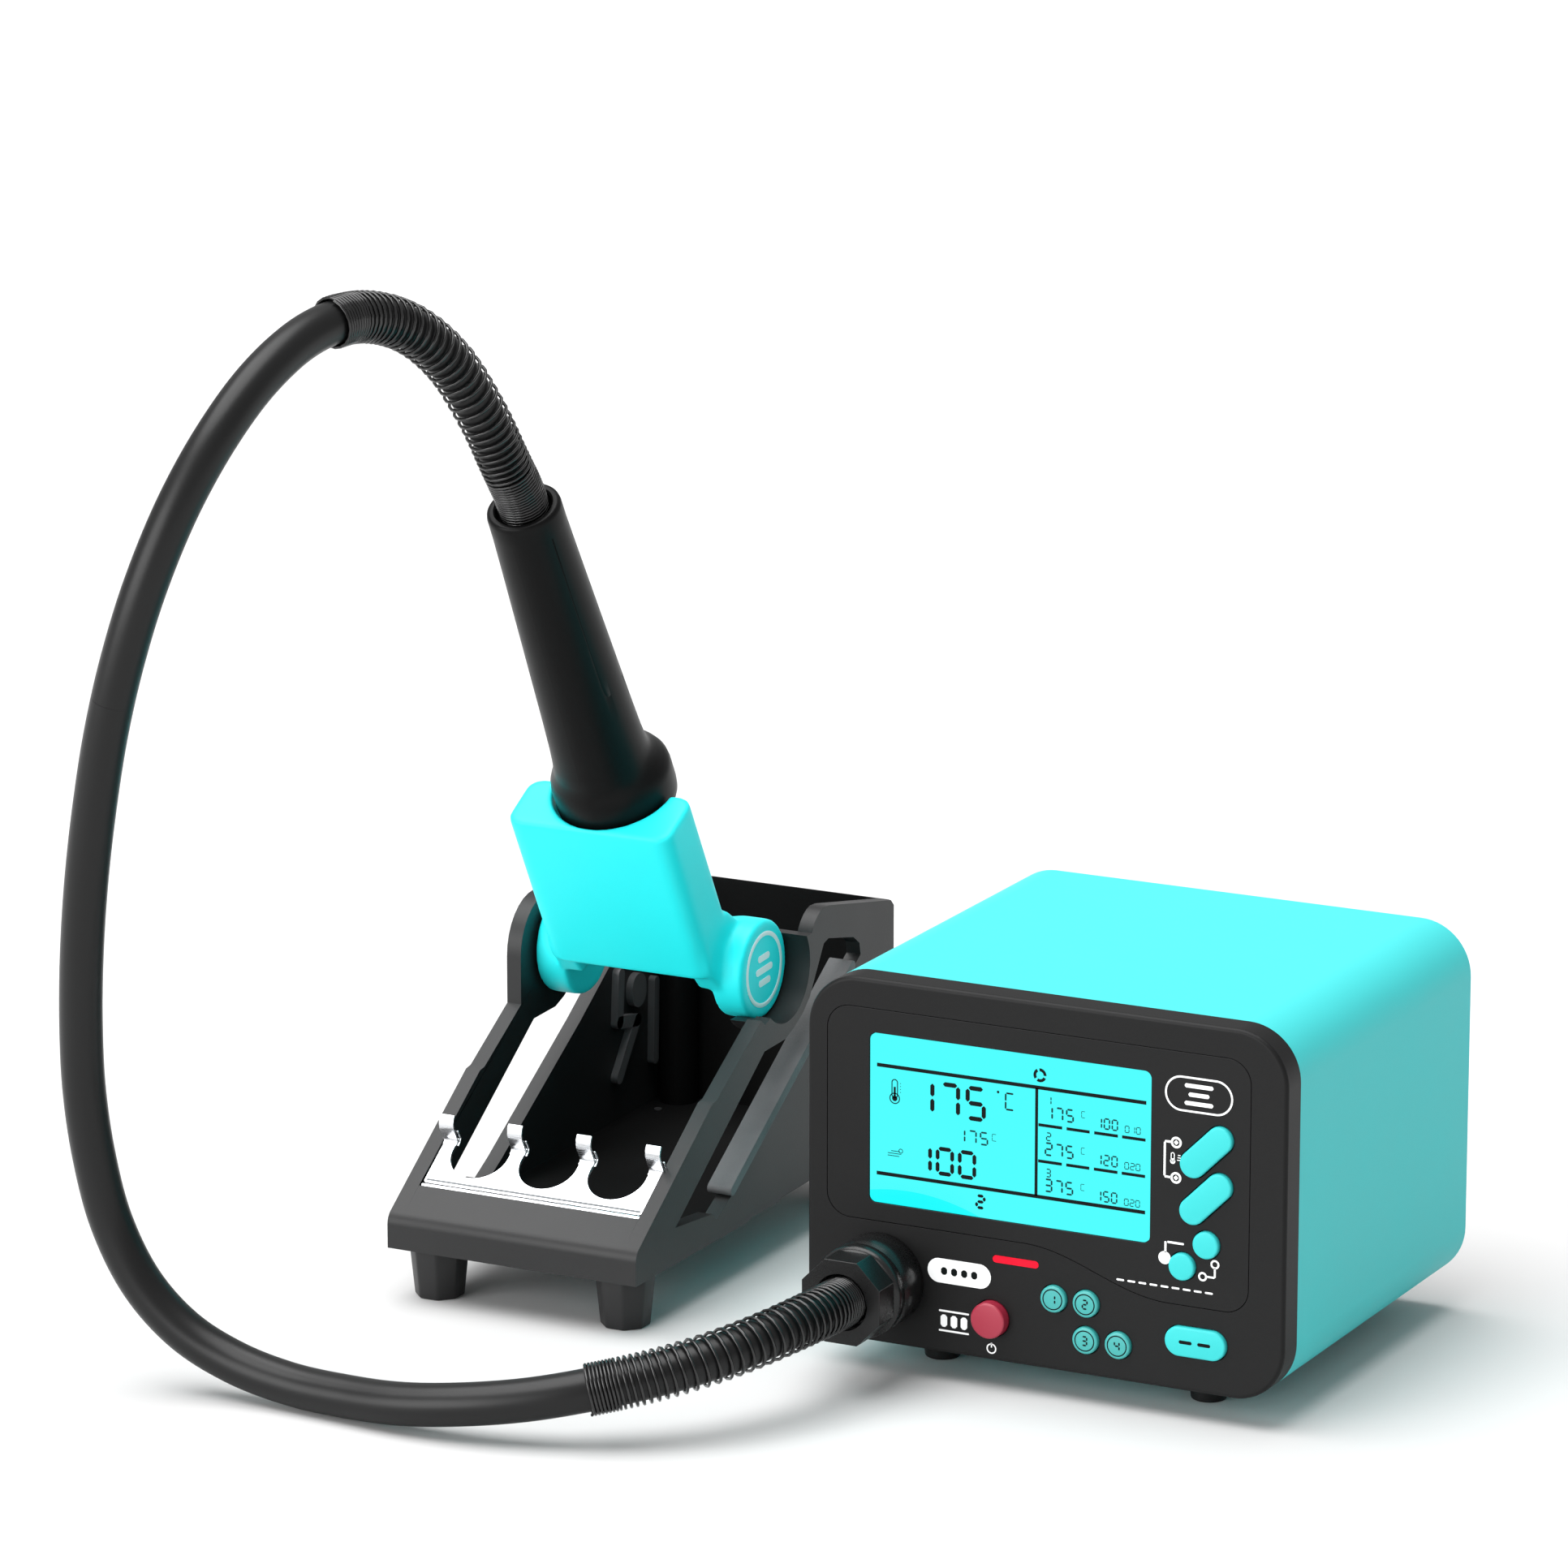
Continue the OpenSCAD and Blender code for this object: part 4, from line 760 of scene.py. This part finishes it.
# plain signs printed on the plate and the front
printed = bmesh.new()
outlineMark(printed, 60.1, 109.9, 13.2, 6.5, 0.7, 0)
outlineMark(printed, 50.3, 86.1, 2.0, 0.75, 0.3, 0, math.pi / 2)
printedBars = [(60.1, 106.7 + 3.2 * k, width, 1.5, 0.5) for k, width in enumerate((11.0, 8.0, 11.0))]
printedBars += [(52.8, 85.2 + 0.9 * k, 1.6 - 0.3 * k, 0.3, 0) for k in range(3)]
printedBars += [(30.5 + 4.3 * k, 37.9, 3.0, 0.7, 0.2) for k in range(9)]
printedBars += [(-39.0 + 4.0 * k, 12.3, 2.6, 4.6, 0.8) for k in range(3)]
printedBars += [(47.2, 85.1, 0.8, 12.4, 0.2), (48.5, 91.6, 2.6, 0.8, 0.2), (48.5, 78.6, 2.6, 0.8, 0.2),
    (51.8, 54.6, 6.4, 0.8, 0.2), (47.9, 52.6, 0.8, 4.2, 0.2), (67.1, 45.7, 0.7, 3.6, 0.15),
    (65.4, 43.9, 3.2, 0.7, 0.15), (-35.0, 16.0, 12.0, 0.7, 0.2), (-35.0, 8.6, 12.0, 0.7, 0.2),
    (-20.0, 5.9, 0.5, 1.8, 0)]
for x, z, width, height, cut in printedBars:
    bar(printed, x, z, width, height, 0, cut)
for x, z, radius, thick in ((51.6, 91.6, 1.7, 0.8), (51.6, 78.6, 1.7, 0.8), (67.1, 48.8, 1.35, 0.7),
        (62.4, 43.7, 1.35, 0.7), (-20.0, 4.6, 1.7, 0.5)):
    ringMark(printed, x, z, radius, thick, 0)
for z in (91.6, 78.6):
    bar(printed, 51.6, z, 1.3, 1.3, 0, 0, math.pi / 4)
for x, z, radius, length in ((50.3, 84.6, 1.0, 0), (47.6, 48.6, 2.4, 0), (-33.0, 31.0, 4.6, 16.0)):
    dot(printed, x, z, radius, 0, length)
finishPiece("panel_signs", printed, whitePrint, "display", "base", angle=30)
pillMarks = bmesh.new()
for k in range(4):
    bar(pillMarks, -39.0 + 4.0 * k, 31.0, 2.4, 2.8, 0.07 * mm, 0.7)
finishPiece("pill_marks", pillMarks, darkInk, "display", "base", angle=30)
print("panel printed")

# stand: every face in the cavity takes a much darker copy of the stand plastic, painted shade for the shadow
# deep in the cavity
paintedShadeCavity = {"half": 46.25, "front": 16, "floor": 1, "top": 75, "column": 36}
standPiece = roundedCopy("stand_frame", standPlastic, "dark_plastic", "base", 0.6 * mm, 38)
standPiece.data.materials.append(innerPlasticAndPaintedShade)
for polygon in standPiece.data.polygons:
    middle = polygon.center
    aside = abs(middle.x - standX) / mm
    behind = middle.y > standLow.y + paintedShadeCavity["front"] * mm
    above = middle.z > standLow.z + paintedShadeCavity["floor"] * mm
    below = middle.z < paintedShadeCavity["top"] * mm or aside < paintedShadeCavity["column"]
    if aside < paintedShadeCavity["half"] and behind and above and below:
        polygon.material_index = 1
roundedCopy("slot_rail", railRubber, "dark_plastic", "base", 0.3 * mm, 50)

standFoot = {"low": 9.4, "high": 11.5, "sides": 8, "edge": 0.9, "inset": 3.2, "turn": 22.5}
footLow, footHigh = corner("stand_screws", 0), corner("stand_screws", 1)
inset = standFoot["inset"] * mm
footX, footY = (footLow.x + inset, footHigh.x - inset), (footLow.y + inset, footHigh.y - inset)
for k, (x, y) in enumerate((x, y) for y in footY for x in footX):
    legShape = bmesh.new()
    bmesh.ops.create_cone(legShape, cap_ends=True, segments=standFoot["sides"], radius1=standFoot["low"] * mm,
        radius2=standFoot["high"] * mm, depth=standLow.z)
    bmesh.ops.bevel(legShape, geom=list(legShape.edges), offset=standFoot["edge"] * mm, segments=3, profile=0.5,
        affect="EDGES", material=-1)
    turn = Matrix.Rotation(math.radians(standFoot["turn"]), 4, "Z")
    movedBy(legShape, Matrix.Translation((x, y, standLow.z / 2)) @ turn)
    finishPiece("stand_foot_%d" % (k + 1), legShape, standPlastic, "dark_plastic", "base",
        () if k else ("stand_feet",), angle=25)

# steel plate: a sheet with three round notches, a bent front edge and a curled tab on every finger
tray = {"width": 92.0, "front": 2.5, "back": 24.7, "thick": 1.5, "sink": 0.8, "corner": 1.2, "pitch": 29,
    "notch": 11.7, "base": 7.4, "slit": 40, "tab": 6.2, "hook": 0.8}
lip = {"radius": 6, "height": 29.4, "inset": 13.5, "slope": math.radians(34.5)}
rise = (lip["inset"] - lip["radius"] * (1 - math.sin(lip["slope"]))) * math.tan(lip["slope"])
deckLift = lip["height"] + lip["radius"] * math.cos(lip["slope"]) + rise
deckPlace = Matrix.Translation((standX, standLow.y + lip["inset"] * mm, deckLift * mm))
deckPlace = deckPlace @ Matrix.Rotation(lip["slope"], 4, "X")
sheetLength = (tray["back"] - tray["front"]) * mm
sheet = padShape(tray["width"] * mm, sheetLength, tray["corner"] * mm, tray["thick"] * mm)
sheetLow = -(tray["sink"] + tray["thick"]) * mm
movedBy(sheet, Matrix.Translation((0, (tray["front"] + tray["back"]) / 2 * mm, sheetLow)))
for k in (-1, 0, 1):
    notch = stadium(tray["slit"] * mm, tray["notch"] * mm, 10 * mm, steps=64)
    notchY = (tray["notch"] + tray["base"] + tray["slit"] / 2) * mm
    place = Matrix.Translation((k * tray["pitch"] * mm, notchY, -6 * mm)) @ Matrix.Rotation(math.pi / 2, 4, "Z")
    sheet = cutAway(sheet, movedBy(notch, place))
bendLine = [(0, -46), (0.7, -46), (1.0, -45.6), (1.0, 45.6), (0.7, 46), (0, 46)]
bend = turned([(r * mm, h * mm) for r, h in bendLine], 20)
joinInto(sheet, bend, Matrix.Translation((0, 1.2 * mm, -1.35 * mm)) @ Matrix.Rotation(math.pi / 2, 4, "Y"))


def curledTab(target, x, width, path, thick):
    # a strip drawn along a bent path of (y, z) points, then thickened
    bm = bmesh.new()
    first = [bm.verts.new((x - width / 2, *path[0])), bm.verts.new((x + width / 2, *path[0]))]
    edge = bm.edges.new(first)
    for (y0, z0), (y1, z1) in zip(path, path[1:]):
        made = bmesh.ops.extrude_edge_only(bm, edges=[edge])
        moved = [v for v in made["geom"] if isinstance(v, bmesh.types.BMVert)]
        bmesh.ops.translate(bm, vec=(0, y1 - y0, z1 - z0), verts=moved)
        edges = [e for e in made["geom"] if isinstance(e, bmesh.types.BMEdge)]
        edge = next(e for e in edges if all(v in moved for v in e.verts))
    bmesh.ops.scale(bm, vec=(mm, mm, mm), verts=bm.verts)
    bmesh.ops.recalc_face_normals(bm, faces=bm.faces)
    bmesh.ops.solidify(bm, geom=list(bm.faces), thickness=thick * mm)
    bmesh.ops.recalc_face_normals(bm, faces=bm.faces)
    joinInto(target, bm, Matrix())


tabPath = [(21.0, -1.5), (22.4, -1.5), (23.4, -1.0), (23.9, 0.0), (24.1, 1.4), (24.3, 5.0), (24.9, 6.6),
    (26.0, 7.9), (27.6, 8.8)]
hookPath = [(21.5, -1.6), (23.6, -1.4), (24.8, -0.4), (25.0, 1.6), (24.8, 3.8)]
for k in (-1.5, -0.5, 0.5, 1.5):
    curledTab(sheet, k * tray["pitch"], tray["tab"], tabPath, 0.9)
    curledTab(sheet, k * tray["pitch"] + tray["tab"] / 2 + 0.5, tray["hook"], hookPath, 0.5)
finishPiece("nozzle_tray", movedBy(sheet, deckPlace), plateSteel, "steel", "base", ("nozzle_plate",),
    0.18 * mm, 40)
# a thin dark strip lying on the plate along its bend: painted shade of the groove at the fold
foldShadeLine = {"length": 90, "width": 0.9, "corner": 0.2, "thick": 0.1, "y": 3.9, "z": -0.82}
foldShadeStrip = padShape(*(foldShadeLine[side] * mm for side in ("length", "width", "corner", "thick")), steps=2)
movedBy(foldShadeStrip, deckPlace @ Matrix.Translation((0, foldShadeLine["y"] * mm, foldShadeLine["z"] * mm)))
finishPiece("tray_fold_painted_shade", foldShadeStrip, foldPaintedShade, "steel", "base", angle=40)

# straps moulded on the inside of the left wall: width, then (y, z) points
wallRuns = (
    (5.0, ((73.8, 84.8), (72.4, 66), (86.8, 63.5), (72.1, 43.9))),
    (4.0, ((102.7, 75.2), (101.7, 44.0))),
    (11.5, ((88.2, 74.2), (88.2, 76.2))),
)
wallInside, ribHeight = standX - 46.3 * mm, 3 * mm
wallRibs = bmesh.new()
for width, run in wallRuns:
    for (y0, z0), (y1, z1) in zip(run, run[1:]):
        length = math.hypot(y1 - y0, z1 - z0)
        a, b = (y1 - y0) / length, (z1 - z0) / length
        midY, midZ = (y0 + y1) / 2 * mm, (z0 + z1) / 2 * mm
        place = Matrix(((0, 0, 1, wallInside), (a, -b, 0, midY), (b, a, 0, midZ), (0, 0, 0, 1)))
        joinInto(wallRibs, stadium(length * mm, width / 2 * mm, ribHeight), place)
# the ribs take the lighter grey plastic, painted light on them
finishPiece("wall_ribs", wallRibs, ribPlasticPaintedLight, "dark_plastic", "base", angle=40)

# moulded cradle: softened in its own upright frame, then leaned back with the handle
soft = {"cell": 0.75 * mm, "rounds": 12}
cradleShape = softened(movedBy(mergedCopy("cradle"), tiltedPlace.inverted()), soft["cell"], soft["rounds"])
finishPiece("cradle_moulding", movedBy(cradleShape, tiltedPlace), cradlePlastic, "cyan_plastic", "cradle_body",
    ("cradle",), angle=80)

# ring and three bars on the outer face of the right ear
badge = {"pitch": 4.8, "radius": 1.3, "sunk": 0.3, "thick": 0.5, "lengths": (6.6, 10.6, 6.6), "turn": 65}
badgeRing = [(12.9, -0.3), (12.9, 0.15), (13.0, 0.2), (14.5, 0.2), (14.6, 0.15), (14.6, -0.3), (12.9, -0.3)]
earMark = turned([(r * mm, h * mm) for r, h in badgeRing])
for k, length in enumerate(badge["lengths"]):
    strip = stadium(length * mm, badge["radius"] * mm, badge["thick"] * mm)
    joinInto(earMark, strip, Matrix.Translation((0, (k - 1) * badge["pitch"] * mm, -badge["sunk"] * mm)))
earFace = Matrix.Translation((corner("cradle", 1).x - standX, 0, 0)) @ Matrix.Rotation(math.pi / 2, 4, "Y")
earPlace = tiltedPlace @ earFace @ Matrix.Rotation(math.radians(badge["turn"]), 4, "Z")
finishPiece("ear_badge", movedBy(earMark, earPlace), whitePrint, "cyan_plastic", "cradle_body", angle=50)

# handle skin: one outline of (radius, height) from the bulb to the tail, cut into the moulded parts
grip = {"bulbBack": 2.5, "bulbTop": 103, "bulbFade": 11, "bulbBore": 14, "headTop": 104.5, "collarLow": 213}
skin = [(12.6, 74), (17.2, 74), (19.8, 74.7), (21.7, 76.3), (22.7, 78.6), (23, 81.5), (23, 89.5),
    (22.6, 92.2), (21.5, 94.6), (20.1, 96.8), (19.0, 99.2), (18.3, 102), (17.9, 105.5), (17.5, 111),
    (16.9, 125), (16.2, 145), (15.5, 165), (14.8, 185), (14.3, 200), (13.95, 212), (13.9, 219.8),
    (13.6, 221.2), (12.9, 221.9), (12.2, 222), (11.2, 221.9), (10.6, 221.2), (10.4, 216), (9.5, 216),
    (9.5, 200), (12.6, 104), (12.6, 74)]
handleShape = turned([(r * mm, h * mm) for r, h in skin], 96)
for v in handleShape.verts:
    # the bulb sits behind the handle's axis and runs into the round grip above it
    share = min(1.0, max(0.0, (grip["bulbTop"] * mm - v.co.z) / (grip["bulbFade"] * mm)))
    if v.co.xy.length > grip["bulbBore"] * mm:
        v.co.y += grip["bulbBack"] * mm * share * share * (3 - 2 * share)


def slicedPiece(source, planes):
    # keeps what lies behind every plane and closes the cuts
    bm = source.copy()
    for point, normal in planes:
        geom = list(bm.verts) + list(bm.edges) + list(bm.faces)
        cut = bmesh.ops.bisect_plane(bm, geom=geom, plane_co=point, plane_no=normal, clear_outer=True,
            dist=1e-7)
        rim = [e for e in cut["geom_cut"] if isinstance(e, bmesh.types.BMEdge)]
        bmesh.ops.triangle_fill(bm, edges=rim, use_beauty=True, use_dissolve=True)
    bmesh.ops.recalc_face_normals(bm, faces=bm.faces)
    return bm


headTop, collarLow = (0, 0, grip["headTop"] * mm), (0, 0, grip["collarLow"] * mm)
up, down = (0, 0, 1), (0, 0, -1)
gripSpan = [(headTop, down), (collarLow, up)]
gripLeft = slicedPiece(handleShape, gripSpan + [((0, 0, 0), (1, 0, 0))])
gripRight = slicedPiece(handleShape, gripSpan + [((0, 0, 0), (-1, 0, 0))])
# two fine grooves along the grip, each with a hook at its lower end
grooveLook = {"wire": 0.28 * mm, "widest": 17.9, "from": 105.5, "taper": 0.0375}
grooveRun = [(216, 0), (190, 0), (165, 0), (143, 0), (139.5, 1), (137.6, 3.5), (137, 7), (137.4, 10)]
for aside, hook in ((-26, 1), (31, -1)):
    groove = []
    for height, turn in grooveRun:
        angle = math.radians(aside + hook * turn)
        radius = grooveLook["widest"] - (height - grooveLook["from"]) * grooveLook["taper"]
        groove.append(Vector((math.cos(angle) * radius, math.sin(angle) * radius, height)) * mm)
    gripRight = cutAway(gripRight, wireMesh("groove", groove, grooveLook["wire"], 2))
handleParts = {
    "handle_bulb": (slicedPiece(handleShape, [(headTop, up)]), "handle_head"),
    "grip_left": (gripLeft, "handle_shell_left"),
    "grip_right": (gripRight, "handle_shell_right"),
    "tail_ring": (slicedPiece(handleShape, [(collarLow, down)]), "tail_collar"),
}
handleShape.free()
for name, (shape, node) in handleParts.items():
    finishPiece(name, movedBy(shape, tiltedPlace), handlePlastic, "black_plastic", "handle", (node,), angle=38)

for node in ("barrel", "nozzle"):
    roundedCopy(node, barrelSteel, "steel", "handle", 0.3 * mm, 50)
print("stand, cradle and handle made")

# pieces that keep their CAD shape
plainFinishes = {
    "display_module": boardLacquer, "control_board": boardLacquer, "key_switches": glandPlastic,
    "mains_inlet": glandPlastic, "base_plate": zincPlate, "board_pillars": brassTurned,
    "power_board": boardLacquer, "transformer": coilTape, "capacitors": glandPlastic,
    "heat_sink": castAluminium, "blower_housing": innerPlasticAndPaintedShade, "blower_motor": castAluminium,
    "blower_shaft": barrelSteel, "blower_impeller": glandPlastic, "air_duct": ductSilicone,
    "foot_screws": zincPlate, "rear_screws": zincPlate, "stand_screws": zincPlate,
    "pivot_pin": barrelSteel, "friction_washer": footRubber, "cradle_magnet": zincPlate,
    "reed_board": boardLacquer, "heater_core": ceramicBody,
}
for node, material in plainFinishes.items():
    piece = frame["nodes"][node]
    piece.data.materials.clear()
    piece.data.materials.append(material)
    for polygon in piece.data.polygons:
        polygon.material_index = 0
print("plain pieces finished")
